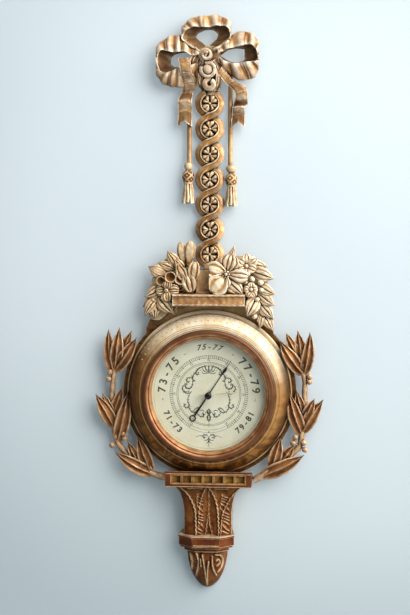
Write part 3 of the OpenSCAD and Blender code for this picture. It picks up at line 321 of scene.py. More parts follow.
class Finish(Tree):
    """A material, and short calls for the patterns in it."""

    def __init__(self, name):
        self.material = bpy.data.materials.new(name)
        self.material.use_nodes = True
        super().__init__(self.material.node_tree)
        self.shader = self.tree.nodes["Principled BSDF"]

    def set(self, **values):
        for key, value in values.items():
            self.put(value, self.shader.inputs[key.replace("_", " ")])

    def surface(self, factor, shader, other):
        """Gives the material two shaders, the second one as far as a factor says."""
        both = self.fed("ShaderNodeMixShader", {0: factor, 1: shader, 2: other})[0]
        self.link(both, self.tree.nodes["Material Output"].inputs["Surface"])

    def place(self):
        return self.new("ShaderNodeTexCoord").outputs["Object"]

    def geometry(self, kind="Normal"):
        return self.new("ShaderNodeNewGeometry").outputs[kind]

    def round_dial(self):
        """How far a place is from the dial's axis, and its x, y and height over the axis."""
        parts = self.parts(self.place())
        up = self.plus(parts["Z"], HANG / 1000)
        across = self.fed("ShaderNodeVectorMath", {0: self.vector(parts["X"], up)}, operation="LENGTH")
        return across["Value"], parts["X"], parts["Y"], up

    def noise(self, scale, detail=4.0, rough=0.55, stretch=None, distortion=0.0, where=None):
        """A cloudy pattern from 0 to 1, fixed to the object unless where gives its places."""
        if where is None:
            where = self.place()
        if stretch:
            where = self.fed("ShaderNodeMapping", {"Scale": stretch, "Vector": where})["Vector"]
        return self.fed("ShaderNodeTexNoise", {"Vector": where, "Scale": scale, "Detail": detail,
                                               "Roughness": rough, "Distortion": distortion})["Fac"]

    def ranged(self, value, low, high, to_low=0.0, to_high=1.0):
        """A soft slope from to_low, where a value is low, to to_high, where it is high."""
        return self.fed("ShaderNodeMapRange", {"Value": value, "From Min": low, "From Max": high,
                                               "To Min": to_low, "To Max": to_high},
                        interpolation_type="SMOOTHSTEP")["Result"]

    def bump(self, height, strength, distance):
        return self.fed("ShaderNodeBump", {"Strength": strength, "Distance": distance,
                                           "Height": height})["Normal"]

    def hollow(self, distance, low, high, most, samples=6):
        """0 on open faces, up to most in corners and grooves about as wide as a distance: the mask for
        darkening in hollows, which is painted shade, and in the gilding partly grime as well.
        """
        seen = self.fed("ShaderNodeAmbientOcclusion", {"Distance": distance}, samples=samples)["AO"]
        return self.ranged(seen, low, high, most, 0.0)

    def along(self, a, b):
        """How far two directions agree, from -1 to 1."""
        return self.fed("ShaderNodeVectorMath", {0: a, 1: b}, operation="DOT_PRODUCT")["Value"]

    def edges(self, radius):
        """1 on an edge and 0 away from it."""
        rounded = self.fed("ShaderNodeBevel", {"Radius": radius}, samples=4)["Normal"]
        return self.ranged(self.along(rounded, self.geometry()), 0.985, 0.8)

    def away(self, low=0.35, high=-0.6):
        """0 on faces that look up and to the right, 1 on those that look down and to the left: the mask for
        painted shade.
        """
        return self.ranged(self.along(self.geometry(), (0.6, -0.3, 0.74)), low, high)


def rgb(code):
    """A colour code as the picture shows it, in the linear values that a shader takes."""
    parts = [int(code[i:i + 2], 16) / 255 for i in (1, 3, 5)]
    return tuple(c / 12.92 if c <= 0.04045 else ((c + 0.055) / 1.055) ** 2.4 for c in parts)


GOLDEN = (1.0, 0.74, 0.5)


def darker_below(n, base, patch, dark):
    """The backboard's lower part darker, in the heights between two places."""
    lower = n.ranged(n.parts(n.place())["Z"], -0.345, -0.385)
    return n.mix(n.times(lower, 0.92), base, n.mix(n.ranged(patch, 0.4, 0.62), dark, rgb("#6E421C")))


def ruled(n, crest, lines):
    """Painted highlight lines, level, each at a height and with half a width, in millimetres."""
    for place, half in lines:
        near = n.absolute(n.minus(n.parts(n.place())["Z"], (place - HANG) / 1000))
        crest = n.larger(crest, n.ranged(near, half / 1000, half / 3000))
    return crest


def sunk_panel(n, base, crest, cloud, half_w, half_h, middle):
    """A sunk panel: a painted highlight line round it and brighter gold inside."""
    parts = n.parts(n.place())
    near = n.larger(n.minus(n.absolute(parts["X"]), half_w / 1000),
                    n.minus(n.absolute(n.minus(parts["Z"], (middle - HANG) / 1000)), half_h / 1000))
    crest = n.larger(crest, n.ranged(n.absolute(near), 0.0009, 0.0003))
    inner = n.mix(n.ranged(cloud, 0.4, 0.6), rgb("#A67C3A"), rgb("#6E4A1E"))
    return n.mix(n.ranged(near, 0.0, -0.0006), base, inner), crest


def gilding(name, light, gold, brown, dark, bole, worn=0.5, carved=True, metal=0.3, rough=0.42, grime_and_shade_reach=0.006,
            board=False, lines=(), panel=None):
    """Toned leaf gold over red bole: light crests (partly wear, partly a painted highlight), brown slopes,
    dark grooves (partly grime, partly painted shade), and painted shade on faces that look down and to the
    left.
    """
    n = Finish(name)
    cloud = n.noise(34, 5, 0.6)
    patch = n.noise(130, 6, 0.65, distortion=0.4)
    grain = n.noise(900, 5, 0.7)
    base = n.mix(n.ranged(cloud, 0.36, 0.64), gold, brown)
    base = n.mix(n.times(n.ranged(patch, 0.52, 0.68), worn), base, bole)
    # Darker in hollows and in the carving's low places: partly grime, partly painted shade
    low = n.hollow(grime_and_shade_reach, 0.35, 0.9, 1.0)
    if carved:
        height = n.new("ShaderNodeAttribute", attribute_name="high").outputs["Fac"]
        # Crests take the light colour: partly wear, partly a painted highlight
        crest = n.larger(n.ranged(n.geometry("Pointiness"), 0.505, 0.56), n.ranged(height, 0.5, 0.95))
        low = n.larger(low, n.ranged(height, 0.04, 0.42, 0.9, 0.0))
    else:
        # Edges take the light colour: partly wear, partly a painted highlight
        crest = n.edges(0.0012)
    if board:
        base = darker_below(n, base, patch, dark)
    crest = ruled(n, crest, lines)
    if panel:
        base, crest = sunk_panel(n, base, crest, cloud, *panel)
    # Painted shade: a darker base and weaker crests on faces that look down and to the left
    turned_away_shade = n.away()
    base = n.mix(n.times(turned_away_shade, 0.7), base, tuple(0.45 * c for c in brown))
    crest = n.times(crest, n.minus(1.0, n.times(turned_away_shade, 0.55)))
    base = n.mix(n.times(crest, n.ranged(patch, 0.3, 0.62, 1.0, 0.5)), base, light)
    low = n.times(low, n.ranged(grain, 0.25, 0.6, 0.8, 1.0))
    base = n.mix(low, base, dark)
    # Faces that look at the wall are bare wood
    back = n.ranged(n.parts(n.geometry("True Normal"))["Y"], 0.75, 0.92)
    fibre = n.noise(60, 8, 0.6, (1, 1, 0.12), 0.8)
    base = n.mix(back, base, n.mix(n.ranged(fibre, 0.35, 0.65), rgb("#7A5A3C"), rgb("#4C3420")))
    shine = n.times(n.ranged(low, 0.1, 0.9, metal, 0.05), n.minus(1.0, back))
    relief = n.plus(n.times(grain, 0.35), patch)
    n.set(Base_Color=base, Metallic=shine, Roughness=n.ranged(patch, 0.3, 0.75, rough - 0.05, rough + 0.18),
          Specular_Tint=GOLDEN, Specular_IOR_Level=0.28, Normal=n.bump(relief, 0.4, 0.0006))
    return n.material


# Each gilding: its light, gold, brown, groove and bole colours, and how worn it is
GROOVE = rgb("#240E02")
# Carved pieces: the neck and the left side, the right bouquet, the ribbons, the laurels and the console
gilt = gilding("gilding", rgb("#F6E0BA"), rgb("#C28C50"), rgb("#8C5624"), GROOVE, rgb("#824220"), 0.5)
# A lighter gilding for the right bouquet, which paints the stronger light on that side
gilt_lit_side = gilding("gilding_lit_side", rgb("#FFF0D6"), rgb("#EAC48E"), rgb("#C08C50"), rgb("#2C1406"),
                    rgb("#A06034"), 0.3, grime_and_shade_reach=0.005)
gilt_rosy = gilding("gilding_rosy", rgb("#F9EAD4"), rgb("#CC9F6C"), rgb("#976840"), GROOVE,
                    rgb("#845038"), 0.6)
gilt_laurel = gilding("gilding_laurel", rgb("#E6C29A"), rgb("#A87040"), rgb("#764626"), rgb("#220F05"),
                      rgb("#70351E"), 0.65)
gilt_toned = gilding("gilding_toned", rgb("#F0CCA0"), rgb("#925A2C"), rgb("#602F12"), rgb("#180800"),
                     rgb("#5E2410"), 0.8)
# Flat and turned pieces
gilt_bead = gilding("gilding_bead", rgb("#FFF4DC"), rgb("#F2D49C"), rgb("#DCB274"), GROOVE,
                    rgb("#B88048"), 0.3, False)
gilt_flat = gilding("gilding_flat", rgb("#F6E2C0"), rgb("#D2AE80"), rgb("#AA8258"), GROOVE,
                    rgb("#8E5E3E"), 0.6, False)
gilt_frieze = gilding("gilding_frieze", rgb("#E0B68A"), rgb("#6E3A1A"), rgb("#4C230D"), rgb("#140700"),
                      rgb("#5A2812"), 0.8, False, metal=0.12, rough=0.55, grime_and_shade_reach=0.003,
                      lines=((-138.2, 0.8), (-118.6, 0.7)), panel=(56, 6.5, -127.2))
gilt_band = gilding("gilding_band", rgb("#F2D2AA"), rgb("#7E4322"), rgb("#5A2A12"), rgb("#180802"),
                    rgb("#64240F"), 0.85, False, metal=0.2, grime_and_shade_reach=0.004,
                    lines=((-217.5, 1.4), (-233.7, 0.8), (-242.4, 0.6)))
board_gilt = gilding("gilding_board", rgb("#F0D4A2"), rgb("#D0AC76"), rgb("#A88252"), GROOVE,
                     rgb("#8A5C38"), 0.5, False, board=True)


def ring_gilding():
    """The case ring: smooth old gold, worn in streaks round it, with a painted cream highlight on top and
    painted shade on its outer flank, on the left, below and in hollows.
    """
    n = Finish("ring_gilding")
    across, x, _, up = n.round_dial()
    angle = n.maths("ARCTAN2", up, x)
    streak = n.noise(60, 6, 0.6, distortion=0.4, where=n.vector(n.times(angle, 0.16), across))
    soft = n.noise(22, 4, 0.5)
    grain = n.noise(1100, 4, 0.7)
    base = n.mix(n.ranged(streak, 0.3, 0.72), rgb("#A46C36"), rgb("#CC985A"))
    # Painted highlight: cream on the top, where the light falls
    top = n.ranged(n.plus(up, n.times(x, 0.22)), 0.022, 0.088)
    base = n.mix(n.times(top, 0.9), base, n.mix(n.ranged(streak, 0.3, 0.7), rgb("#EAD0A4"), rgb("#FBECD2")))
    # Painted shade on the outer flank below the top
    outer = n.ranged(across, 0.105, 0.12)
    flank = n.times(n.times(outer, 0.85), n.ranged(up, 0.085, 0.03))
    base = n.mix(flank, base, n.mix(n.ranged(soft, 0.4, 0.62), rgb("#3C1E08"), rgb("#71441B")))
    # Painted shade on the left and lower left
    left = n.ranged(n.plus(up, n.times(x, 0.9)), 0.03, -0.12)
    base = n.mix(n.times(left, 0.75), base, rgb("#5E3512"))
    # Painted shade on faces that look down and to the left, less on the top
    turned_away_shade = n.times(n.times(n.away(0.45, -0.5), 0.62), n.ranged(top, 0.0, 1.0, 1.0, 0.35))
    base = n.mix(turned_away_shade, base, rgb("#4A280C"))
    # Painted shade on the lower part, brown with streaks
    below = n.ranged(up, -0.01, -0.105)
    brown = n.mix(n.ranged(streak, 0.44, 0.6), rgb("#52290B"), rgb("#9E6426"))
    base = n.mix(n.times(below, 0.85), base, brown)
    # Fine turned lines near its inner and outer edges, light and dark lines that paint the highlights and
    # shade of fine ridges: radius, half width and colour
    for radius, half, colour in ((0.1006, 0.0009, "#3A1E0A"), (0.1032, 0.001, "#E3C08E"),
                                 (0.1062, 0.0005, "#5E3A18"), (0.1204, 0.0006, "#4A2A10"),
                                 (0.1238, 0.0012, "#D9B27C")):
        near = n.absolute(n.minus(across, radius))
        base = n.mix(n.ranged(near, half, half / 3, 0.0, 0.75), base, rgb(colour))
    # Painted shade in hollows and at the bezel
    low = n.hollow(0.008, 0.3, 0.85, 0.9)
    base = n.mix(low, base, rgb("#2C1A0C"))
    shine = n.times(n.ranged(low, 0.1, 0.9, 0.4, 0.1), n.ranged(top, 0.0, 1.0, 1.0, 0.3))
    relief = n.plus(n.times(streak, 0.6), n.times(grain, 0.3))
    n.set(Base_Color=base, Metallic=shine, Specular_Tint=GOLDEN, Specular_IOR_Level=0.4,
          Roughness=n.ranged(streak, 0.3, 0.75, 0.3, 0.42), Normal=n.bump(relief, 0.16, 0.0006))
    return n.material


def metal(name, light, tone, rough=0.3, metallic=1.0, fine=500, bump=0.1, turned=False, rim=None):
    """Metal with a tarnish in clouds and fine scratches, drawn out round the dial's axis when turned, and
    painted shade in its hollows.
    """
    n = Finish(name)
    cloud = n.noise(55, 5, 0.6)
    low = n.hollow(0.004, 0.3, 0.85, 0.8, 5)
    base = n.mix(n.ranged(cloud, 0.35, 0.68), light, tone)
    if turned:
        across, _, y, _ = n.round_dial()
        scratches = n.noise(fine * 2, 2.0, 0.5, where=n.vector(across, y))
    else:
        scratches = n.noise(fine, 5, 0.65, (1, 1, 4))
    if rim:
        start, end, colour = rim
        base = n.mix(n.ranged(across, start, end, 0.0, 0.85), base, colour)
    # Painted shade in hollows
    base = n.mix(low, base, tuple(c * 0.25 for c in tone))
    n.set(Base_Color=base, Metallic=metallic, Normal=n.bump(scratches, bump, 0.0002),
          Roughness=n.ranged(scratches, 0.25, 0.8, rough - 0.08, rough + 0.12))
    return n.material


ring_gilt = ring_gilding()
bezel_metal = metal("bezel_copper_gilt", rgb("#C68E5E"), rgb("#955B34"), 0.36, 0.5, 420, 0.06, True,
                    (0.0905, 0.0945, rgb("#5E3218")))
sight_metal = metal("sight_ring_gilt", rgb("#D8BC84"), rgb("#9C7A45"), 0.42, 0.9, 500, 0.08, True)
pale_brass = metal("pale_brass", rgb("#F6ECD0"), rgb("#D9C9A0"), 0.4, 0.35, 700, 0.05)
brass = metal("turned_brass", rgb("#E6C778"), rgb("#B08A42"), 0.22, 1.0, 700, 0.06)
spun = metal("spun_brass", rgb("#CBAA66"), rgb("#B08F50"), 0.34, 1.0, 500, 0.12, True)
nickel = metal("nickelled_capsule", rgb("#D9D2BE"), rgb("#A79C80"), 0.3, 1.0, 600, 0.08)
steel = metal("turned_steel", rgb("#BFC1C4"), rgb("#77797D"), 0.28, 1.0, 700, 0.08)
blued = metal("blued_steel", rgb("#20222A"), rgb("#0E0F14"), 0.26, 0.7, 700, 0.05)
iron = metal("japanned_iron", rgb("#34302B"), rgb("#1B1815"), 0.5, 0.4, 260, 0.3)
lacquer = metal("black_lacquer", rgb("#1C1918"), rgb("#0B0A0A"), 0.2, 0.1, 500, 0.04)


def dial_enamel():
    """The dial's printed face: cream with age spots."""
    n = Finish("dial_enamel")
    age = n.noise(28, 5, 0.6)
    speck = n.noise(420, 3, 0.7)
    face = n.mix(n.ranged(age, 0.35, 0.7), rgb("#F5ECD6"), rgb("#E9DFC4"))
    face = n.mix(n.times(n.ranged(speck, 0.66, 0.78), 0.25), face, rgb("#8C8468"))
    n.set(Base_Color=face, Roughness=n.ranged(age, 0.3, 0.7, 0.42, 0.55), Normal=n.bump(speck, 0.05, 0.0001))
    return n.material


def dial_ink():
    """Grey-black ink that is a little uneven."""
    n = Finish("dial_ink")
    fade = n.noise(260, 5, 0.7)
    n.set(Base_Color=n.mix(n.ranged(fade, 0.4, 0.7), rgb("#34342F"), rgb("#6E6C5C")),
          Roughness=n.ranged(fade, 0.3, 0.7, 0.5, 0.65))
    return n.material


def dial_glass():
    """Old window glass: clear, with a smeared sheen and no shadow of its own."""
    n = Finish("dial_glass")
    smear = n.noise(30, 4, 0.6)
    clear = n.fed("ShaderNodeBsdfTransparent", {"Color": (0.975, 0.99, 0.985)})[0]
    gloss = n.fed("ShaderNodeBsdfGlossy", {"Roughness": n.ranged(smear, 0.4, 0.8, 0.01, 0.06)})[0]
    mirror = n.fed("ShaderNodeFresnel", {"IOR": 1.5})[0]
    sheen = n.maths("MINIMUM", n.times(mirror, n.ranged(smear, 0.3, 0.8, 1.2, 1.7)), 0.6)
    lit = n.minus(1.0, n.new("ShaderNodeLightPath").outputs["Is Shadow Ray"])
    n.surface(n.times(sheen, lit), clear, gloss)
    return n.material


enamel, ink, glass = dial_enamel(), dial_ink(), dial_glass()

# The look of each CAD node that stays as it is
CAD_LOOKS = {
    "backboard": board_gilt, "case_ring": ring_gilt, "bezel": bezel_metal, "glass": glass,
    "glass_bush": brass, "set_knob": lacquer, "set_hand": pale_brass, "pressure_hand": blued,
    "dial_plate": enamel, "sight_ring": sight_metal, "movement_case": spun, "base_plate": spun,
    "base_screws": steel, "dial_pillars": brass, "capsule": nickel, "capsule_post": steel, "bridge": iron,
    "main_spring": blued, "spring_screws": steel, "lever_arm": steel, "rocking_shaft": steel,
    "shaft_cocks": brass, "chain": steel, "hand_arbor": steel, "lower_cock": brass, "upper_cock": brass,
    "lower_pillars": brass, "upper_pillars": brass, "hairspring": blued, "adjusting_screw": steel,
    "neck_base": gilt_flat, "crest_block": gilt_flat, "carved_cord_left": gilt_flat,
    "carved_cord_right": gilt_flat, "frieze_block": gilt_frieze, "console_band": gilt_band,
    "hanger_plate": steel, "hanger_screws": steel,
}
for node_name, look in CAD_LOOKS.items():
    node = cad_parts[node_name]
    node.data.materials.clear()
    node.data.materials.append(look)


# Leaves and petals

def blade(c, x, z, heading, long, wide, depth, lift=4, root=6, bend=0, kind="gouged", grooves=3,
          pointed=True, rows=20, columns=15, dish=0.0):
    """One carved leaf or petal on its own ground; t runs from its root to its tip and s across it.

    kind sets its cross section: a boat has a hollow on each side of a midrib, a gouged leaf has cuts
    along it and a ridged petal has rounded ridges.
    """
    t = np.linspace(0, 1, rows + 1)[:, None]
    s = np.linspace(-1, 1, columns)[None, :]
    edge = abs(s)
    a = np.radians(heading + bend * t)
    m = np.radians(heading + bend * t / 2)
    cx, cz = x + long * t * np.cos(m), z + long * t * np.sin(m)
    if kind == "boat":
        shape = (0.2 * (1 - t) + 0.95 * np.sqrt(np.sin(math.pi * t ** 0.8))) * (1 - t ** 7)
    elif pointed:
        shape = (0.1 + 0.9 * np.sin(math.pi * t ** 0.75) + 0.2 * (1 - t)) * (1 - t ** 8)
    else:
        shape = (0.3 + 0.75 * np.sin(math.pi / 2 * np.minimum(t / 0.62, 1))) * np.sqrt(
            np.maximum(1 - np.maximum((t - 0.45) / 0.55, 0) ** 2.6, 0))
    w = wide / 2 * shape
    d0 = depth + lift * np.sin(np.radians(150 * t))
    fade = step(0, 0.15, t) * (1 - 0.6 * step(0.75, 1, t))
    if kind == "boat":
        relief = -0.17 * wide * bump(edge, 0.48, 0.3) * fade - 0.1 * wide * edge ** 6
        relief = relief + 0.04 * wide * bump(edge, 0, 0.12) * fade
        ribs = np.maximum(bump(edge, 0, 0.12), bump(edge, 1, 0.16)) * fade
        high = 0.46 - 0.2 * bump(edge, 0.48, 0.2) + 0.42 * ribs
    elif kind == "gouged":
        relief = -0.16 * wide * edge ** 4
        high = np.ones_like(t * s)
        places = np.linspace(-0.62, 0.62, grooves) if grooves > 1 else [0.0]
        for g in places:
            cut = bump(s, g, 0.22 / max(grooves, 2)) * fade
            relief = relief - 0.12 * wide * cut
            high = high - 0.5 * cut
        high = high - 0.12 - 0.2 * (1 - fade)
    else:
        relief = -0.1 * wide * edge ** 4 + dish * wide * edge ** 2
        ridges = 0.5 + 0.5 * np.cos(math.pi * grooves * s)
        valley = (1 - ridges) ** 4 * fade
        relief = relief - 0.085 * wide * valley
        high = 0.9 - 0.5 * valley - 0.3 * (1 - step(0, 0.45, t)) + 0 * s
    front_d = d0 + relief + 0 * s
    px = cx - w * s * np.sin(a)
    pz = cz + w * s * np.cos(a)
    front = np.stack([px, front_d, pz], 2)
    behind = 0.3 * wide + root * (1 - t) ** 1.5
    back_d = np.minimum(front_d - 1.3, d0 - 0.16 * wide - (behind - 0.16 * wide) * (1 - edge ** 2))
    back = np.stack([cx - 0.96 * w * s * np.sin(a), np.maximum(back_d, 0.5),
                     cz + 0.96 * w * s * np.cos(a)], 2)
    c.shell(front, back, np.clip(high, 0, 1))


def leaf_to(c, base, tip, wide, depth, lift=4, bend=0, root=6, **more):
    """A leaf from one place to another."""
    dx, dz = tip[0] - base[0], tip[1] - base[1]
    blade(c, base[0], base[1], math.degrees(math.atan2(dz, dx)) - bend / 2, math.hypot(dx, dz), wide, depth,
          lift, root, bend, **more)


def petal_to(c, base, tip, wide, depth, lift=4, ridges=5, dish=0.06):
    """A round-ended petal from one place to another."""
    leaf_to(c, base, tip, wide, depth, lift, 0, 14, kind="ridged", grooves=ridges, pointed=False, dish=dish,
            columns=19)


def berry(c, x, z, r, depth, root):
    """A berry with a small eye, on a short stalk that starts at root."""
    c.turned(x, z, [(r * 0.5, root), (r * 0.55, depth)], 10, 0.1)
    c.ball(x, z, r, depth)
    c.ball(x, z, r * 0.24, depth + r * 0.93, 0.6, 8)


def bell(c, x, z, r, depth):
    """The open mouth of a bell flower. Each row: share of its radius, depth from its lip and height."""
    form = [(0.5, -18, 0.5), (0.6, -12, 0.6), (0.72, -6, 0.7), (0.95, -1.2, 0.9), (1, -0.2, 1), (0.93, 0, 1),
            (0.82, -0.8, 0.8), (0.66, -4, 0.45), (0.42, -6, 0.25), (0.1, -6.6, 0.1)]
    c.turned(x, z, [(r * share, depth + fall) for share, fall, _ in form], 30,
             np.array([[high] for _, _, high in form]), 5, 0.03)


# Neck: two straps twist round seven roundels, each with a four-petalled rosette in its deep pocket

STRAP_MID = ROUNDEL_R + STRAP_W / 2
TURN = math.asin(min(2 * STRAP_MID / PITCH, 0.999))
# Across the strap: place, rise over the strap's face and how high it is for the gilding
STRAP_FORM = [
    (-0.5, -9.5, 0.0), (-0.5, -1.0, 0.4), (-0.46, 0.0, 0.95), (-0.36, 0.3, 1.0), (-0.3, 0.0, 0.9),
    (-0.26, -0.7, 0.25), (-0.2, -0.8, 0.45), (-0.1, -0.9, 0.66), (0.1, -1.6, 0.7), (0.3, -2.7, 0.72),
    (0.44, -4.2, 0.8), (0.5, -6.2, 0.6), (0.5, -9.5, 0.0)]


def wedge(c, x, z, heading, half_angle, inner, outer, base, rise):
    """One cleft petal of a rosette, as a part of a disc."""
    t = np.linspace(0, 1, 13)[:, None]
    s = np.linspace(-1, 1, 13)[None, :]
    spread = half_angle * (0.75 + 0.25 * np.sqrt(t))
    a = np.radians(heading + spread * s)
    r = inner + (outer - inner) * t - 1.3 * t ** 3 * bump(s, 0, 0.3) - 1.2 * t ** 2 * abs(s) ** 5
    cleft = bump(s, 0, 0.16) * step(0.1, 0.5, t)
    d = base + rise * (0.5 + 0.5 * np.sin(math.pi * np.minimum(t * 0.75, 0.75))) * (1 - 0.45 * abs(s) ** 4)
    d = d - 1.1 * cleft - 1.0 * t ** 6
    front = np.stack([x + r * np.cos(a), d, z + r * np.sin(a)], 2)
    back = front.copy()
    back[:, :, 1] = base - 3
    c.shell(front, back, np.clip(0.86 - 0.45 * cleft - 0.3 * abs(s) ** 6, 0, 1))


def neck_path(side, steps):
    """Middle line, outward way and depth of the strap that starts at the top on one side."""
    rows = []
    for n in range(ROUNDELS):
        z = LAST_ROUNDEL_Z - n * PITCH
        for i in range(steps + 1):
            a = TURN - 2 * TURN * i / steps
            out = np.array([side * math.cos(a), math.sin(a)])
            rows.append((side * STRAP_MID * math.cos(a), z + STRAP_MID * math.sin(a),
                         out[0], out[1], 15 - side * 4.5 * math.sin(a), side))
        side = -side
    return rows


def strap(c, first_side):
    """One of the two straps, from the top of the neck to its foot."""
    path = np.array(neck_path(first_side, 14))
    dense = []
    for i, row in enumerate(path):
        dense.append(row)
        if i + 1 < len(path) and path[i + 1][5] != row[5]:
            for k in (0.25, 0.5, 0.75):
                mid = row * (1 - k) + path[i + 1] * k
                mid[2:4] = row[2:4]
                mid[5] = row[5]
                dense.append(mid)
    sections, heights = [], []
    order, previous = 1, first_side
    for x, z, out_x, out_z, d, side in dense:
        # The strap's inner edge becomes its outer edge where it passes from one roundel to the next
        if side != previous:
            order = -order
        previous = side
        ring = [(x + out_x * e * STRAP_W, max(d + r, 5), z + out_z * e * STRAP_W) for e, r, _ in STRAP_FORM]
        # Painted light: high is raised where the strap's face looks up and to the right, and lowered where it
        # looks down and to the left
        lit = 0.72 + 0.28 * (0.75 * out_x + 0.66 * out_z)
        sections.append(ring[::order])
        heights.append([h * lit for _, _, h in STRAP_FORM][::order])
    c.loft(sections, np.array(heights))


def roundel(c, n):
    """A disc with a rosette of four cleft petals. Neighbours' backs lie at different depths."""
    z = LAST_ROUNDEL_Z - n * PITCH
    back = 0.1 + 0.25 * (n % 2)
    edge = ROUNDEL_R + STRAP_W
    c.turned(0, z, [(0.1, back), (edge - 0.8, back), (edge - 0.6, 5.6), (ROUNDEL_R + 1, 6), (0.1, 6)],
             40, 0.12)
    start = 45 if n % 2 == 0 else 0
    for k in range(4):
        a = math.radians(start + 90 * k + 3 * math.sin(n * 2.3 + k))
        wedge(c, 0.6 * math.cos(a), z + 0.6 * math.sin(a), math.degrees(a), 41.5, 0.6, 11.9, 9, 4.0)
    c.ball(0, z, 1.9, 12)


neck = Carving()
for first_side in (-1, 1):
    strap(neck, first_side)
for n in range(ROUNDELS):
    roundel(neck, n)
# Blocks at both ends and a batten behind, which hold the roundels together
neck_foot = FIRST_ROUNDEL_Z - ROUNDEL_R - STRAP_W
for low, high in ((neck_foot - 1.5, FIRST_ROUNDEL_Z - ROUNDEL_R), (LAST_ROUNDEL_Z + ROUNDEL_R, CREST_Z)):
    neck.loft([[(-9, 0.9, z), (9, 0.9, z), (9, 8, z), (7, 10, z), (-7, 10, z), (-9, 8, z)]
               for z in (low, high)], 0.4)
neck.loft([[(-7, 0.6, z), (7, 0.6, z), (7, 5, z), (-7, 5, z)] for z in (neck_foot, CREST_Z)], 0.1)
finished("neck_carving", neck, gilt, "neck", wobble=0.18)


# Ribbons

def ribbon(c, back, ridge, front, waves, phase):
    """A ribbon through three curves of x, depth and z: its back edge, its outer ridge and its front edge."""
    # How far the folds stand out, and how far across the ribbon its ridge lies
    pleats, p = 2.0, 0.45
    v = np.linspace(0, 1, 21)[None, :, None]
    rows = (back[:, None, :] * (v - p) * (v - 1) / p + ridge[:, None, :] * v * (v - 1) / (p * (p - 1))
            + front[:, None, :] * v * (v - p) / (1 - p))
    normal = np.cross(np.gradient(rows, axis=0), np.gradient(rows, axis=1))
    normal /= np.linalg.norm(normal, axis=2)[:, :, None] + 1e-9
    centre = ridge.mean(0)
    if np.sum(normal[:, 9] * (rows[:, 9] - centre)) < 0:
        normal = -normal
    u = np.linspace(0, 1, len(rows))[:, None]
    calm = np.sin(math.pi * u) ** 0.3
    w = v[0, :, 0][None, :]
    fold = fold_form(u + 0.02 * np.sin(3 * w), waves, phase)
    shift = pleats * (fold - 0.6) * (0.25 + 0.75 * step(0.1, 0.55, w)) * calm
    places = (0.06, 0.17, 0.19, 0.33, 0.46, 0.49, 0.63, 0.74, 0.76, 0.88)
    cut = creases(u + 0.012 * w, places) * step(0.3, 0.6, w)
    middle = rows + normal * (shift - 0.8 * cut)[:, :, None]
    # Painted highlight and shade: fold crests lighter, creases darker, and a light line along the front edge
    high = -0.34 * cut + 0.26 + 0.46 * fold ** 1.5 * step(0.2, 0.6, w) + 0.12 * fold
    high = np.maximum(high, (0.8 + 0.2 * fold) * bump(w, 1, 0.09))
    half = normal * RIBBON_T / 2 * (1 - 0.5 * (bump(w, 0, 0.06) + bump(w, 1, 0.06)))[:, :, None]
    c.shell(middle + half, middle - half, np.clip(high, 0.2, 1))


def creases(u, places):
    """Sharp narrow grooves at some places along a ribbon."""
    return sum(bump(u, place, 0.0045) for place in places)


def fold_form(u, waves, phase):
    """Rounded folds of uneven width with narrow valleys between them, from 0 to 1."""
    place = waves * u + 0.34 * np.sin(5.3 * u + phase) + 0.22 * np.sin(12.1 * u + 2.1 * phase)
    return 0.45 * abs(np.sin(math.pi * place)) ** 0.6 + 0.55 * (0.5 - 0.5 * np.cos(2 * math.pi * place))


def between_edges(rows, steps, mirror=1):
    """A band of ribbon from rows of left x, left z, right x, right z and depth, from the knot's middle."""
    curve = smooth(rows, steps)
    v = np.linspace(0, 1, 17)
    u = np.linspace(0, 1, len(curve))[:, None]
    x = mirror * (curve[:, 0:1] * (1 - v) + curve[:, 2:3] * v)
    z = curve[:, 1:2] * (1 - v) + curve[:, 3:4] * v + KNOT_Z
    return u, v, x, z, curve[:, 4:5]


def drape(c, rows, mirror, folds, phase):
    """A hanging fold of ribbon."""
    u, v, x, z, depth = between_edges(rows, 8, mirror)
    fold = fold_form(v + 0.08 * np.sin(4 * u + phase), folds, phase)
    x = x + 1.2 * np.sin(7 * u + 1.5 * phase)
    front = np.stack([x, depth - 2.4 + 2.4 * fold, z], 2)
    back = np.stack([x, np.maximum(depth - 10, 8) + 0 * x, z], 2)
    c.shell(front, back, 0.22 + 0.6 * fold + 0 * u)


LEFT_DRAPE = [
    [-22, 4, -12, -6, 22], [-27, -6, -13, -14, 23], [-30, -18, -14, -24, 21], [-31, -31, -15, -34, 22],
    [-27, -42, -17, -43, 17]]

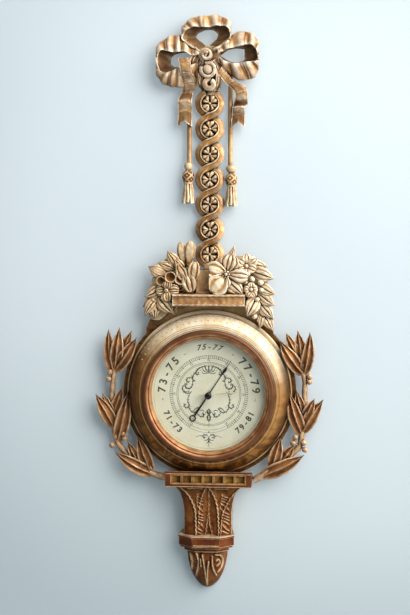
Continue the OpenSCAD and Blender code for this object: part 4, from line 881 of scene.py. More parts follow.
# Each row: x and z of the back edge, of the outer ridge and of the front edge, from the middle of the knot
TOP_LOOP = [
    [-3.7, 11, -8.3, 7.4, -12.9, 2.8], [-11, 17.5, -24, 15.6, -26.7, 12], [-19.3, 24, -36, 23, -37.7, 20.2],
    [-18.4, 29.4, -38.6, 33, -38.2, 28.5], [-12.9, 33, -33, 43, -31, 36.8], [-7.4, 35, -22, 51.5, -20, 39.6],
    [0, 35.9, -3.7, 54.3, -4.6, 38.6], [5.5, 35, 11, 54.3, 11, 40.5], [10, 32, 24, 48.8, 23, 40],
    [12, 26.7, 30, 37.7, 29.6, 33], [9.2, 22, 30, 25.8, 29.4, 24], [4.6, 17.5, 20.2, 12, 22, 15.6],
    [0, 13.8, 7.4, 6.4, 5.5, 7.4]]
LEFT_LOOP = [
    [-13, 2, -13, 8, -15, -1], [-24, 3, -27, 14, -26, -2], [-35, 3.5, -38, 23, -38, 4],
    [-44, 2.5, -49, 27, -48, 3], [-51, 0.5, -60, 24, -60, 4], [-55.5, -3, -70, 15, -70, 6],
    [-57.5, -8, -76.5, 4, -76.5, -2], [-57, -13, -77.5, -10, -76.5, -12], [-54, -17, -75, -26, -74, -22],
    [-49, -18, -66, -40, -65, -27], [-42, -17, -53, -45, -53, -23], [-35, -15, -40, -45, -43, -18],
    [-26, -11, -27, -34, -30, -16], [-17, -6, -15, -19, -18, -13]]
RIGHT_LOOP = [
    [11, 2, 12, 8, 12, 0], [17.5, 0, 16.6, 12, 18.4, 3.7], [25, 5.5, 25, 18.4, 25.8, 6.4],
    [34, 8.3, 35, 27.6, 34, 9.2], [43, 8.3, 46, 31, 45, 11], [50.6, 7.4, 58, 29.4, 56, 13.8],
    [51.5, 3.7, 67, 20, 65, 11], [51.5, -1.8, 70.8, 7.4, 70, 1], [51, -8.3, 70.8, -7.4, 70, -8.3],
    [47, -10, 69.5, -22, 64.4, -11], [40.5, -11, 62, -33, 53.4, -11.5], [33, -11, 49.7, -36, 42.3, -12.9],
    [24.8, -7.4, 35, -31, 31.3, -12.9], [17.5, -2.8, 22, -22, 20.2, -8.3],
    [12, -1.8, 13.5, -12.9, 13.5, -3.7]]
for name, rows, waves, phase in (("top", TOP_LOOP, 11, 0.4), ("left", LEFT_LOOP, 11, 1.7),
                                 ("right", RIGHT_LOOP, 10, 3.1)):
    curve = smooth(rows, 12)
    ripple = 1.8 * (fold_form(np.linspace(0, 1, len(curve)), waves, phase) - 0.5)
    # The depths of the back edge, the ridge and the front edge
    back, ridge, front = (np.stack([curve[:, i], depth + 0 * ripple, curve[:, i + 1] + KNOT_Z], 1)
                          for i, depth in ((0, 10.5), (2, 15.5), (4, 24 + ripple)))
    loop = Carving()
    ribbon(loop, back, ridge, front, waves, phase)
    if name == "left":
        drape(loop, LEFT_DRAPE, 1, 4, 1.1)
    finished("ribbon_loop_" + name, loop, gilt_rosy, "bow_loop_" + name, wobble=0.15)

# Each row: x and z of the left edge and of the right edge, from the middle of the knot, and depth
LEFT_TAIL = [
    [-45, -6, -27, -6, 31], [-44, -16, -27, -16, 32], [-42, -28, -25, -28, 29], [-41, -37, -20, -36, 22],
    [-40, -48, -20, -48, 16], [-42, -56, -25, -57, 12], [-47, -68, -26, -68, 19], [-47, -82, -26, -82, 13],
    [-48, -96, -26, -96, 18],
]
RIGHT_TAIL = [
    [13, -28, 19, -18, 24], [18, -36, 27, -28, 24], [27, -45, 37, -38, 22], [37, -54, 54, -48, 24],
    [38, -64, 56, -64, 20], [35, -72, 56, -72, 12], [34, -78, 52, -77, 20], [33, -88, 52, -88, 14],
    [32, -98, 52, -98, 18],
]


def ribbon_tail(word, rows, drop):
    """A hanging end of the ribbon, waved in depth, creased, and cut to a swallow tail drop deep."""
    u, v, x, z, depth = between_edges(rows, 10)
    z = z - drop * abs(2 * v - 1) * step(0.86, 1, u) + 0.8 * np.sin(9 * u + 3 * v)
    d = depth - 0.8 * (2 * v - 1) ** 4 - 0.9 * (bump(v, 0.1, 0.035) + bump(v, 0.9, 0.035))
    d = d + 0.5 * np.sin(17 * u + 4 * v)
    front = np.stack([x, d + 0 * x, z], 2)
    back = front.copy()
    back[:, :, 1] = np.maximum(front[:, :, 1] - 6.5, 1.5)
    # Painted light and shade: darker where the face turns down and lighter where it turns up, lighter on
    # crowns, on both edges and on the lips over creases, darker in the creases
    slope = np.gradient(depth[:, 0])[:, None]
    crown = np.clip(-3.5 * np.gradient(slope[:, 0]), -1, 1)[:, None]
    high = 0.42 - 0.2 * (bump(v, 0.1, 0.04) + bump(v, 0.9, 0.04)) - 0.3 * np.clip(1.6 * slope, -1, 1)
    high = high + 0.14 * crown + 0.3 * (bump(v, 0, 0.05) + bump(v, 1, 0.05))
    leaning = u + 0.02 * np.sin(3 * v)
    cuts = creases(leaning, (0.1, 0.24, 0.27, 0.44, 0.58, 0.61, 0.79, 0.9))
    lips = creases(leaning + 0.016, (0.1, 0.27, 0.44, 0.61, 0.79, 0.9))
    high = high + 0.5 * lips - 0.3 * cuts
    front[:, :, 1] -= 0.7 * cuts
    c = Carving()
    c.shell(front, back, np.clip(high, 0.15, 1))
    finished("ribbon_end_" + word, c, gilt_rosy, "ribbon_tail_" + word, wobble=0.2)


ribbon_tail("left", LEFT_TAIL, 9)
ribbon_tail("right", RIGHT_TAIL, 8)


# Knot: a rolled ribbon, a wrapped bead under it and a volute that ends on the neck

def roll(c, x, z, r_from, r_to, start, end, wide, low, high_from, high_to, steps):
    """A ribbon rolled on edge from one radius, angle and depth to another."""
    # Across the roll: place, fall from its front, where None is its foot, and height for the gilding
    form = [(-0.5, None, 0.0), (-0.5, -1.8, 0.45), (-0.42, -0.5, 0.85), (-0.2, -0.1, 0.7), (0.1, -0.3, 0.6),
            (0.35, -0.9, 0.62), (0.5, -2.2, 0.5), (0.5, None, 0.0)]
    sections = []
    for i in range(steps + 1):
        t = i / steps
        a = math.radians(start + (end - start) * t)
        r = r_from + (r_to - r_from) * t
        d = high_from + (high_to - high_from) * t
        sections.append([(x + (r + e * wide) * math.cos(a), low if f is None else d + f,
                          z + (r + e * wide) * math.sin(a)) for e, f, _ in form])
    c.loft(sections, np.array([[h for _, _, h in form]] * (steps + 1)))


knot = Carving()
roll(knot, -5, KNOT_Z - 1, 9.4, 3.2, 250, -320, 4.6, CREST_D, 24.5, 32.4, 72)
knot.turned(-5, KNOT_Z - 1, [(10, CREST_D), (10, 21), (8, 22.5), (0.1, 23)], 30, 0.2)
leaf_to(knot, (-6.5, KNOT_Z - 6), (-3, KNOT_Z + 5), 4.4, 28.4, 1.2, 0, 6, kind="ridged", grooves=1,
        pointed=False, rows=10, columns=9)
roll(knot, -2.3, KNOT_Z - 22.5, 10.6, 10, 110, -205, 5.4, CREST_D, 24, 27.5, 44)
knot.ball(-2.8, KNOT_Z - 22.5, 8.2, CREST_D + 6, 1.0, 26)
knot.turned(-2.8, KNOT_Z - 22.5, [(10, CREST_D), (10, 17), (8, 18), (0.1, 18)], 26, 0.25)
roll(knot, 0.7, KNOT_Z - 43.4, 8.2, 5.0, 80, 420, 7.6, 12.2, 24, 28.6, 56)
knot.turned(1.2, KNOT_Z - 43.4, [(9, 12.2), (9, 17), (7, 18.6), (0.1, 18.8)], 26, 0.0)
KNOT_DRAPE = [
    [-14, -6, -4, -10, 24], [-17.5, -18, -8, -18, 22], [-18.5, -32, -9, -32, 24], [-18, -44, -8, -46, 20],
    [-13, -52, -4, -54, 17]]
drape(knot, KNOT_DRAPE, 1, 3, 0.5)
drape(knot, KNOT_DRAPE, -1, 2, -0.9)
finished("ribbon_knot", knot, gilt_rosy, "bow_knot", wobble=0.15)


# Tassels: a turned knob, a head in a net of cord and a skirt of strands

def tassel(side, word):
    c = Carving()
    cx, cd, top = side * (CORD_X + 1.6), 11.0, CORD_END[side]
    net_top, net_foot, head_l = -11, -29.4, 30
    a = np.linspace(0, 2 * math.pi, 48, endpoint=False)
    knob = 1.22 if side > 0 else 0.95
    outline = smooth([[0.3, 0], [4.2 * knob, -0.2], [6.3 * knob, -3.6], [5.8 * knob, -8.4], [3.9, -11.4],
                      [5, -13], [7.9, -15.8], [9.2, -20.5], [8.5, -26], [6.9, -29.6], [7.1, -31.6]], 4)
    rings, tops = [], []
    for r, z in outline:
        if net_foot < z < net_top:
            net = np.maximum(np.cos(3.5 * a + z * 0.5), np.cos(3.5 * a - z * 0.5)) ** 2
            k = r - 0.9 * (1 - net)
            tops.append(0.1 + 0.9 * net)
        else:
            k = r
            tops.append(0.85 + 0 * a)
        rings.append(np.stack([cx + k * np.cos(a), np.maximum(cd + k * np.sin(a), 0.3), top + z + 0 * a], 1))
    c.loft(rings, np.array(tops))
    skirt, strands = TASSEL_L - head_l, 9
    fall = np.linspace(0, 1, 9)
    for k in range(strands):
        b = 2 * math.pi * (k + 0.3) / strands
        r = 4.6 + 2.9 * fall ** 0.8
        path = np.stack([cx + r * math.cos(b) + 0.4 * np.sin(6 * fall + 1.7 * k),
                         np.maximum(cd + r * math.sin(b), 2.2),
                         top - head_l - skirt * fall * (0.97 + 0.03 * math.sin(2.4 * k))], 1)
        # Round each strand high is lightest on its front left and darkest at its back right: painted
        # highlight and shade
        c.tube(path, 1.7 + 0.95 * fall, 10, np.array([0.5, 0.6, 0.8, 0.95, 1, 0.95, 0.8, 0.6, 0.35, 0.3]))
    # A core inside the strands, painted dark as shade between them
    c.loft([[(cx + r * math.cos(b), max(cd + r * math.sin(b), 0.5), top - z) for b in a[::4]]
            for r, z in ((4.6, 29), (6.6, 29 + skirt))], 0.0)
    finished("tassel_carving_" + word, c, gilt, "tassel_" + word, wobble=0.12)


tassel(-1, "left")
tassel(1, "right")


# Bouquets, laid out from the middle of the lintel's top. Each leaf: root, tip, width, depth, lift and bend

class Bouquet:
    """A carving with z counted from the lintel's top, begun with the ground that its leaves grow from."""

    def __init__(self, side):
        self.c = Carving()
        outline = [(20, 0), (20, 34), (30, 50), (46, 56), (66, 50), (80, 34), (88, 14), (91, -10), (91, -36),
                   (76, -42), (58, -22), (56, 0), (20, 0)]
        points = smooth([(side * x, z) for x, z in outline], 3)[:-1]
        self.c.loft([[(x, d, z + NECK_BASE_Z) for x, z in points] for d in (BOARD_T + 0.2, BOARD_T + 7)], 0.3)

    def leaf(self, base, tip, wide, depth, lift=4, bend=0, root=6, grooves=3):
        leaf_to(self.c, (base[0], base[1] + NECK_BASE_Z), (tip[0], tip[1] + NECK_BASE_Z), wide, depth, lift,
                bend, root, grooves=grooves)

    def petal(self, base, tip, wide, depth, lift=4, ridges=5, dish=0.06):
        petal_to(self.c, (base[0], base[1] + NECK_BASE_Z), (tip[0], tip[1] + NECK_BASE_Z), wide, depth, lift,
                 ridges, dish)

    def berry(self, x, z, r, depth, root=20):
        berry(self.c, x, z + NECK_BASE_Z, r, depth, root)

    def bell(self, x, z, r, depth):
        bell(self.c, x, z + NECK_BASE_Z, r, depth)


b = Bouquet(-1)
for base, tip, wide, depth, lift, bend in (
        ((-66, 32), (-84, 22), 19, 19, 3, 0), ((-44, 30), (-60, 8), 19, 19, 3, 0),
        ((-34, 14), (-50, 0), 18, 20, 3, 0), ((-76, 4), (-84, -26), 20, 19, 3, 0),
        ((-36, 26), (-52, 46), 19, 19, 3, 0), ((-24, 30), (-22, 4), 13, 20, 3, 0),
        ((-54, 32), (-66, 52), 15, 19, 3, 0), ((-46, 40), (-63, 65), 16, 26, 5, -6),
        ((-52, 36), (-78, 46), 13, 25, 4, 18), ((-66, 28), (-92, 40), 18, 25, 5, 0),
        ((-40, 34), (-52, 54), 14, 27, 4, 0), ((-72, 8), (-98, -6), 17, 25, 4, -26),
        ((-76, -6), (-101, -22), 14, 22, 4, 16), ((-84, -14), (-82, -40), 15, 24, 5, -14),
        ((-78, -6), (-98, -36), 15, 26, 5, 10), ((-76, -6), (-52, -31), 20, 29, 6, 8),
        ((-60, -8), (-48, -30), 11, 25, 3, 0)):
    b.leaf(base, tip, wide, depth, lift, bend, grooves=4 if base == (-66, 28) else 3)
b.petal((-38, 42), (-43, 77), 14, 24, 4, 1, 0.04)
b.petal((-31, 42), (-27, 79), 16, 27, 4, 1, 0.04)
b.petal((-24, 16), (-20, 49), 17, 33, 5, 2, 0.1)
b.petal((-35, 38), (-26, 2), 22, 32, 5, 3, 0.1)
b.petal((-47, 45), (-35, 20), 15, 33, 4, 2, 0.08)
for x, z, r, d in ((-57, 25, 8.4, 38), (-42, 22, 8.4, 38), (-72, 19, 6.6, 34)):
    b.bell(x, z, r, d)
for tip, wide, depth in (((-61, 19), 14, 34), ((-79, 3), 16, 31), ((-61, -12), 17, 35), ((-44, 5), 17, 34)):
    b.petal((-63, 5), tip, wide, depth, 3, 4)
b.berry(-63, 5, 3.2, 37)
b.berry(-84, -10, 3.4, 27)
finished("bouquet_carving_left", b.c, gilt, "bouquet_left")

b = Bouquet(1)
for base, tip, wide, depth, lift, bend in (
        ((44, 30), (46, 54), 20, 20, 3, 0), ((62, 24), (84, 30), 20, 20, 3, 0),
        ((58, 14), (52, -6), 20, 20, 3, 0), ((76, 4), (84, -22), 20, 20, 3, 0),
        ((22, 20), (44, 12), 18, 22, 3, 0), ((80, -20), (82, -46), 18, 19, 3, 0),
        ((28, 40), (38, 72), 12, 24, 2, 0), ((60, 44), (88, 40), 15, 26, 4, -8),
        ((66, 32), (98, 22), 20, 28, 6, -12), ((72, 14), (101, -1), 16, 28, 5, 12),
        ((74, 0), (99, -18), 17, 27, 5, 0), ((71, -6), (56, -35), 20, 29, 6, 0),
        ((26, 22), (53, -2), 21, 34, 5, 0), ((76, -14), (97, -38), 17, 25, 5, 0),
        ((82, -32), (96, -56), 15, 23, 4, 0), ((80, -30), (76, -52), 12, 22, 4, 0)):
    b.leaf(base, tip, wide, depth, lift, bend, 12 if base == (26, 22) else 6)
b.petal((25, 31), (-4, 40), 26, 38, 4, 2, 0.1)
b.petal((24, 28), (5, 3), 32, 38, 4, 2, 0.16)
b.petal((27, 32), (34, 59), 27, 36, 4, 4)
b.petal((29, 30), (60, 26), 20, 38, 4, 3)
b.petal((26, 28), (26, 9), 14, 37, 3, 3)
# Seven stamens round the eye of the big blossom
stamens = 7
for k in range(stamens):
    a = 2 * math.pi * k / stamens
    b.c.tube([(26 + r * math.cos(a), d, 30 + NECK_BASE_Z + r * math.sin(a))
              for r, d in ((2, 38), (4.4, 41.5), (5, 42.6))], (0.7, 0.9, 1.1), 6, 0.9)
b.berry(26, 30, 2.6, 41)
for (x, z), tips, wide, depth in (
        ((56, 42), ((56, 60), (71, 53), (70, 36), (54, 26), (42, 35), (43, 52)), 15, 35),
        ((63, 7), ((63, 18), (73, 10), (69, -4), (57, -4), (52, 8)), 11, 34)):
    for tip in tips:
        b.petal((x, z), tip, wide, depth, 4, 3)
    b.berry(x, z, 3.2, depth + 2)
for x, z, r in ((64, 22, 4.8), (55, 17, 4), (77, 17, 4.6), (78, 6, 4), (50, -3, 4), (72, -8, 3.6)):
    b.berry(x, z, r, 32)
b.berry(68, -34, 4.6, 25, 18)
# Its lighter gilding paints the stronger light on the right
finished("bouquet_carving_right", b.c, gilt_lit_side, "bouquet_right")

# Lintel between the bouquets: a light round edge, a hollow and a light lower edge
# Each row: z, depth and height for the gilding
moulding = smooth([
    [151.4, 30, 0.5], [151.4, 42, 0.55], [150.2, 44.6, 0.66], [148.8, 44.8, 0.6], [148, 43.6, 0.34],
    [146, 42.4, 0.46], [142.5, 42, 0.5], [139, 42.6, 0.44], [137.4, 43.8, 0.36], [136.8, 45.2, 0.5],
    [135.2, 45.7, 0.56], [133.8, 44.4, 0.46], [133.6, 40, 0.3], [133.6, 30, 0.1]], 3)
half = 53.8
places = np.linspace(-half, half, 60)[:, None]
front = np.stack([places + 0 * moulding[:, 0], moulding[:, 1] + 0.25 * np.sin(0.7 * places),
                  moulding[:, 0] + 0 * places], 2)
back = front.copy()
back[:, :, 1] = BOARD_T + 0.1
c = Carving()
c.shell(front, back, moulding[None, :, 2] + 0.05 * np.sin(0.21 * places))
finished("lintel_carving", c, gilt_rosy, "lintel", wobble=0.2)


# Laurel branches on an arc round the case

# The stems: angle from below and how far the stem swings out there
STEMS = {
    -1: [(27, 2), (34, 6.5), (43, 10), (55, 13.5), (61, 14.5), (69, 9), (79, 4.7), (92, 0.7), (103, 1.4),
         (115, 1.4)],
    1: [(27, 4), (33, 3), (39, 3), (46, 6.5), (54, 8.5), (59, 12.5), (66, 6), (73, 2.6), (82, -1.8),
        (90, -3.8), (96, -2.7), (103, -2), (115, -1.5)],
}


def stem_radius(side, a):
    places, swings = zip(*STEMS[side])
    return LAUREL_R + float(np.interp(a, places, swings))


def stem_point(side, a, out=0.0):
    """x and z of a place on a stem, or of one that lies further out from the dial."""
    t, r = math.radians(a), stem_radius(side, a) + out
    return side * r * math.sin(t), -r * math.cos(t)


# Rows of leaves: place along the stem, length, turn outwards, width, lift, bend
LEAVES = {
    -1: [(101, 67, 17, 14, 7, -14), (107, 56, -9, 13, 7, 8), (103, 66, 5, 15, 12, 8),
         (102, 64, -22, 16, 11, 12), (75, 40, 7, 11, 6, 12), (69, 59, 7, 16, 9, 16),
         (76, 47, -34, 12, 7, 8), (61, 82, -42, 17, 12, 14), (42, 45, -22, 11, 7, 0),
         (36, 62, -36, 16, 10, 8), (34, 68, 3, 16, 10, -10)],
    1: [(109, 51, -8, 12, 7, 0), (103, 64, 5, 15, 8, 0), (101.5, 64, -23, 16, 11, 12),
        (101.5, 66, 19, 14, 12, -14), (75, 46, -31, 12, 7, 8), (66, 68, -41, 16, 11, 12),
        (67, 60, 8, 16, 9, 16), (74, 38, 7, 12, 10, 10), (43, 42, -11, 14, 7, 0),
        (39, 53, -36, 15, 10, 0), (32, 72, 4, 17, 10, -6)],
}
# Berries: place along the stem and how far out
BERRIES = {
    -1: [(101.1, 5.9), (97.1, 6.3), (64, -12.6), (60.9, -13.3), (60.9, 8.8)],
    1: [(99.8, 7.8), (96.9, 6.9), (62.8, -10.2), (59.2, -12.2), (62.2, 4.6), (59.3, 8.6)],
}


def laurel(side, word):
    c = Carving()
    path, radii = [], []
    for a in np.linspace(26.5, 112, 60):
        x, z = stem_point(side, a)
        path.append((x, 12.5 + 0.5 * math.sin(a * 0.4), z))
        radii.append(5.2 * (1.1 - a / 320) * (1 + 0.07 * math.sin(a * 0.9)))
    path = np.array(path)
    path[1:-1] = (path[:-2] + 2 * path[1:-1] + path[2:]) / 4
    # Round the stem high is lightest on its front and darkest towards the wall: painted highlight and shade
    c.tube(path, radii, 12, np.array([0.5, 0.6, 0.8, 0.95, 0.8, 0.6, 0.45, 0.3, 0.2, 0.2, 0.3, 0.4]))
    for at, long, out, wide, lift, bend in LEAVES[side]:
        x, z = stem_point(side, at)
        heading = at - out if side > 0 else 180 - at + out
        blade(c, x, z, heading + side * bend / 2, long, wide * 1.26, 16.5, lift, 1, -side * bend, kind="boat",
              rows=26, columns=17)
    for at, out in BERRIES[side]:
        x, z = stem_point(side, at, out)
        root_x, root_z = stem_point(side, at)
        c.ball(x, z, 4.5, 17, 1.0, 18)
        c.ball(x + 0.6, z + 0.5, 0.9, 21.2, 0.5, 8)
        c.tube([(root_x, 13.5, root_z), (x, 14, z)], 1.6, 7, 0.4)
    finished("laurel_carving_" + word, c, gilt_laurel, "laurel_" + word)


laurel(-1, "left")
laurel(1, "right")


# Console: its front is one carved relief

# How high the parts are in which it widens and comes forward, and how far it does so at the top
FLARE_H, FLARE_W, FLARE_MOST = 48, 18, 16
SWELL_H, SWELL_D = 40, 8


def quarter_round(h, start, over):
    """0 up to a height, then a hollow quarter round that reaches 1."""
    a = np.clip((h - start) / over, 0, 1)
    return 1 - np.sqrt(1 - a ** 2)


def console_half_at(h):
    """Half width of the console's front at a height over its foot."""
    flare = FLARE_W * quarter_round(h, CONSOLE_H - FLARE_H, FLARE_H - 2)
    return CONSOLE_HALF + np.minimum(flare, FLARE_MOST)


def console_front_at(h):
    """Depth of the console's front at a height over its foot."""
    return FRIEZE_D - 5 - SWELL_D * (1 - quarter_round(h, CONSOLE_H - SWELL_H, SWELL_H))


def line_relief(x, z, points, width):
    """How near each place is to a smooth line through points: 1 on it, falling to 0."""
    line = smooth(points, 10)
    best = np.full(x.shape, 1e9)
    for (ax, az), (bx, bz) in zip(line[:-1], line[1:]):
        dx, dz = bx - ax, bz - az
        t = np.clip(((x - ax) * dx + (z - az) * dz) / (dx * dx + dz * dz + 1e-9), 0, 1)
        best = np.minimum(best, np.hypot(x - ax - t * dx, z - az - t * dz))
    return np.exp(-(best / width) ** 2)


def lines_relief(x, z, rows):
    """The highest of several lines. Each row: the line's points, its width and how far it rises."""
    return np.max([rise * line_relief(x, z, points, width) for points, width, rise in rows], 0)


def window(value, from_low, from_high, to_low, to_high):
    """1 between two soft edges and 0 outside them."""
    return step(from_low, from_high, value) * (1 - step(to_low, to_high, value))


# Lines carved on the console: x from its middle and height over its foot, width and rise
CONSOLE_LINES = [
    ([(-44.5, 77), (-34.7, 69), (-27, 59), (-20.5, 43), (-18.2, 26), (-18, 0)], 1.6, 1.0),
    ([(0.6, 77), (7.5, 66), (12.4, 53), (15.3, 38), (16.3, 20), (16.5, 0)], 1.6, 1.0),
    ([(53, 77), (41, 66), (33, 56), (25, 40), (21, 24), (19.5, 0)], 1.3, 0.75),
    ([(-0.5, 77), (-6.5, 66), (-10.5, 54), (-13, 36), (-14, 14)], 1.5, 0.6)]
SPINE_LINES = [
    ([(1.5, 68), (0.8, 34)], 1.6, 0.75), ([(0.8, 34), (-1.4, 16), (-3.6, 0)], 1.4, 0.8),
    ([(0.8, 34), (3, 16), (6.8, 0)], 1.4, 0.8)]
DART_LINES = [([(-15.5, 63), (-16, 52), (-15.5, 44)], 1.8, 0.8), ([(21.5, 63), (21, 52), (19, 42)], 1.8, 0.8)]


def console():
    rows, columns = ((150, 121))
    h = np.linspace(0, CONSOLE_H, rows)[:, None]
    s = np.linspace(-1, 1, columns)[None, :]
    x = s * console_half_at(h)
    z = h + 0 * s
    base = console_front_at(h) + 0 * s - 3.5 * abs(s) ** 8
    waved = x + 0.5 * np.sin(0.9 * z)
    bright, spine, darts = (lines_relief(waved, z, lines)
                            for lines in (CONSOLE_LINES, SPINE_LINES, DART_LINES))
    # Hatched leaves on both sides, with cups and shaded hollows over them and a sunk core between them
    uneven = z + 2.2 * np.sin(0.23 * z) + 0.6 * abs(abs(x) - 16)
    strokes = (0.5 + 0.5 * np.cos(2 * math.pi * uneven / 6.2)) ** 2
    leaves = (window(x, -16.5, -14.5, -8.5, -6) * window(z, 1, 5, 58, 66)
              + window(x, 19, 21.5, 31, 34) * window(z, 1, 5, 56, 64))
    cups = step(1.7, 0.5, abs(z - 73.4)) * (window(x, -32, -30, -9, -7) + window(x, 9, 11, 30, 32))
    under = window(z, 59, 68, 70, 72) * (window(x, -30, -25, -11, -8) + window(x, 11, 14, 26, 31))
    core = (1 - step(3, 13.5, abs(x - 0.5) + 0.15 * z)) * step(0, 3, z)
    relief = (4.4 * bright + 2.2 * spine + 1.9 * leaves * strokes + 1.6 * darts + 2.2 * cups - 1.8 * under
              - 2.2 * core - 1.2 * leaves)
    high = (0.36 + 0.6 * bright + 0.34 * spine + 0.4 * leaves * (strokes - 0.3) + 0.34 * darts + 0.5 * cups
            - 0.22 * under * (0.5 + 0.5 * np.cos(2.4 * x + 1.6 * z)) - 0.12 * core)
    front = np.stack([x + CONSOLE_X, base - 3.4 + relief, z + BAND_Z], 2)
    back = np.stack([x + CONSOLE_X, np.where(z > CONSOLE_H - 10, BOARD_T + 0.3, 0.3) + 0 * x, z + BAND_Z], 2)
    c = Carving()
    c.shell(front, back, np.clip(high, 0.05, 1))
    finished("console_carving", c, gilt_toned, "console", wobble=0.15)


console()

# Pendant: a pointed bud with acanthus folded down over it. Its lines: x from its middle and way down it
PENDANT_LINES = [
    [(-14.7, 3), (-11.8, 18), (-16.7, 42)], [(-5.9, 5), (-3.9, 18), (-2, 33), (0, 58)],
    [(3.4, 16), (1.4, 33), (0, 58)], [(8.8, 7), (9.8, 25), (14.7, 40)],
    [(14, 5), (21, 7.5), (24.5, 16), (22.5, 27), (17, 35)], [(-25, 6), (-22, 20), (-24, 36)],
    [(-8.5, 12), (-8, 24)], [(16, 24), (20, 19.5), (18.6, 13.5), (15.4, 15.5)]]


def pendant():
    rows, columns = ((110, 121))
    t = np.linspace(0, 1, rows)[:, None]
    a = np.radians(np.linspace(0, 180, columns))[None, :]
    body_w = np.sqrt(np.clip(1 - t ** 2.2, 0, 1)) * (1 - 0.06 * t) + 0.02
    half, front_d = CONSOLE_HALF - 5, FRIEZE_D - 16
    u = half * body_w * np.cos(a)
    w = PENDANT_H * t + 0 * a
    ridge = lines_relief(u, w, [(points, 1.8, 1.0) for points in PENDANT_LINES])
    gouge = 0.5 + 0.5 * np.cos(2 * math.pi * (w + 1.1 * abs(abs(u) - 18.5)) / 5)
    side_leaf = 0.4 * bump(u, -20, 4) * window(w, 6, 12, 30, 40)
    rise = (4.6 * ridge + 2.6 * side_leaf * gouge - 2.6) / 30
    grow = 1 + rise * np.sin(a) ** 0.4 * window(t, 0, 0.05, 0.9, 1)
    front = np.stack([u * grow + BAND_X, np.maximum(front_d * body_w * np.sin(a) * grow, 0.2),
                      PENDANT_Z - w], 2)
    back = np.stack([u * 0.98 + BAND_X, 0.1 + 0 * u, PENDANT_Z - w], 2)
    c = Carving()
    c.shell(front, back, np.clip(0.32 + 0.62 * ridge + 0.4 * side_leaf * gouge, 0, 1))
    finished("pendant_carving", c, gilt_toned, "pendant", wobble=0.15)


pendant()


# Repeats, made with Geometry Nodes

# Points on an arc round the dial's axis or on a line, each with a bead or a bar. Sizes are in metres and
# angles in radians, counted from the top
TREE_INPUTS = (
    ("Count", "NodeSocketInt", 12), ("Radius", "NodeSocketFloat", 0.05), ("Start", "NodeSocketFloat", 0.0),
    ("Sweep", "NodeSocketFloat", 6.28), ("Spacing", "NodeSocketFloat", 0.0),
    ("Long", "NodeSocketFloat", 0.002), ("Wide", "NodeSocketFloat", 0.001),
    ("High", "NodeSocketFloat", 0.001), ("Material", "NodeSocketMaterial", None))


def repeat_tree(kind):
    """The tree for one kind of repeat, a bead or a bar."""
    group = bpy.data.node_groups.new("repeat_" + kind, "GeometryNodeTree")
    group.interface.new_socket("Geometry", in_out="OUTPUT", socket_type="NodeSocketGeometry")
    for name, socket_type, value in TREE_INPUTS:
        socket = group.interface.new_socket(name, in_out="INPUT", socket_type=socket_type)
        if value is not None:
            socket.default_value = value
    n = Tree(group)
    given = n.new("NodeGroupInput").outputs
    line = n.fed("GeometryNodeMeshLine", {"Count": given["Count"]})["Mesh"]
    index = n.new("GeometryNodeInputIndex").outputs[0]
    gaps = n.minus(given["Count"], 1)
    angle = n.plus(given["Start"], n.times(n.maths("DIVIDE", index, n.larger(gaps, 1)), given["Sweep"]))
    along = n.times(n.minus(index, n.maths("DIVIDE", gaps, 2)), given["Spacing"])
    place = n.vector(n.plus(n.times(given["Radius"], n.maths("SINE", angle)), along), 0.0,
                     n.times(given["Radius"], n.maths("COSINE", angle)))
    points = n.fed("GeometryNodeSetPosition", {"Geometry": line, "Position": place})["Geometry"]
    size = n.vector(given["Wide"], given["High"], given["Long"])
    if kind == "bar":
        one = n.fed("GeometryNodeMeshCube", {"Size": size})["Mesh"]
    else:
        ball = n.fed("GeometryNodeMeshUVSphere", {"Segments": 12, "Rings": 8, "Radius": 0.5})["Mesh"]
        one = n.fed("GeometryNodeTransform", {"Geometry": ball, "Scale": size})["Geometry"]
    spread = n.fed("GeometryNodeInstanceOnPoints", {"Points": points, "Instance": one,
                                                    "Rotation": n.vector(0.0, angle)})["Instances"]
    real = n.fed("GeometryNodeRealizeInstances", {"Geometry": spread})["Geometry"]
    painted = n.fed("GeometryNodeSetMaterial", {"Geometry": real, "Material": given["Material"]})["Geometry"]
    n.link(painted, n.new("NodeGroupOutput").inputs["Geometry"])
    return group


TREES = {kind: repeat_tree(kind) for kind in ("bar", "bead")}


def plain_mesh(holder):
    """The finished mesh of an object with modifiers or of a text; the object goes."""
    bpy.context.view_layer.update()
    mesh = bpy.data.meshes.new_from_object(holder.evaluated_get(bpy.context.evaluated_depsgraph_get()))
    holder.modifiers.clear()
    bpy.data.objects.remove(holder)
    return mesh


def repeated(kind, values, material, x, depth, z):
    """Evaluates one repeat and gives its plain mesh, moved to its place."""
    holder = bpy.data.objects.new("repeat", bpy.data.meshes.new("repeat"))
    scene.collection.objects.link(holder)
    modifier = holder.modifiers.new("repeat", "NODES")
    modifier.node_group = TREES[kind]
    names = {item.name: item.identifier for item in TREES[kind].interface.items_tree
             if item.in_out == "INPUT"}
    for name, value in values.items():
        modifier[names[name]] = value
    modifier[names["Material"]] = material
    mesh = plain_mesh(holder)
    mesh.transform(Matrix.Translation(metres(x, depth, z)))
    return mesh


def joined(name, meshes, material):
    """One piece from several plain meshes."""
    work = bmesh.new()
    for mesh in meshes:
        work.from_mesh(mesh)
    made = bpy.data.meshes.new(name)
    work.to_mesh(made)
    work.free()
    for mesh in meshes:
        bpy.data.meshes.remove(mesh)
    added(name, made, material, 40)


def ring_surface(r):
    """Depth of the case ring's front at a radius: a quarter round between its inner and outer steps."""
    inner, wide, rise = RING_BORE + 4, RING_R - RING_BORE - 8.6, RING_D - BOARD_T - 8.2
    t = min(max((r - inner) / wide, 0), 0.999)
    return BOARD_T + 5.6 + rise * math.sqrt(1 - t * t)


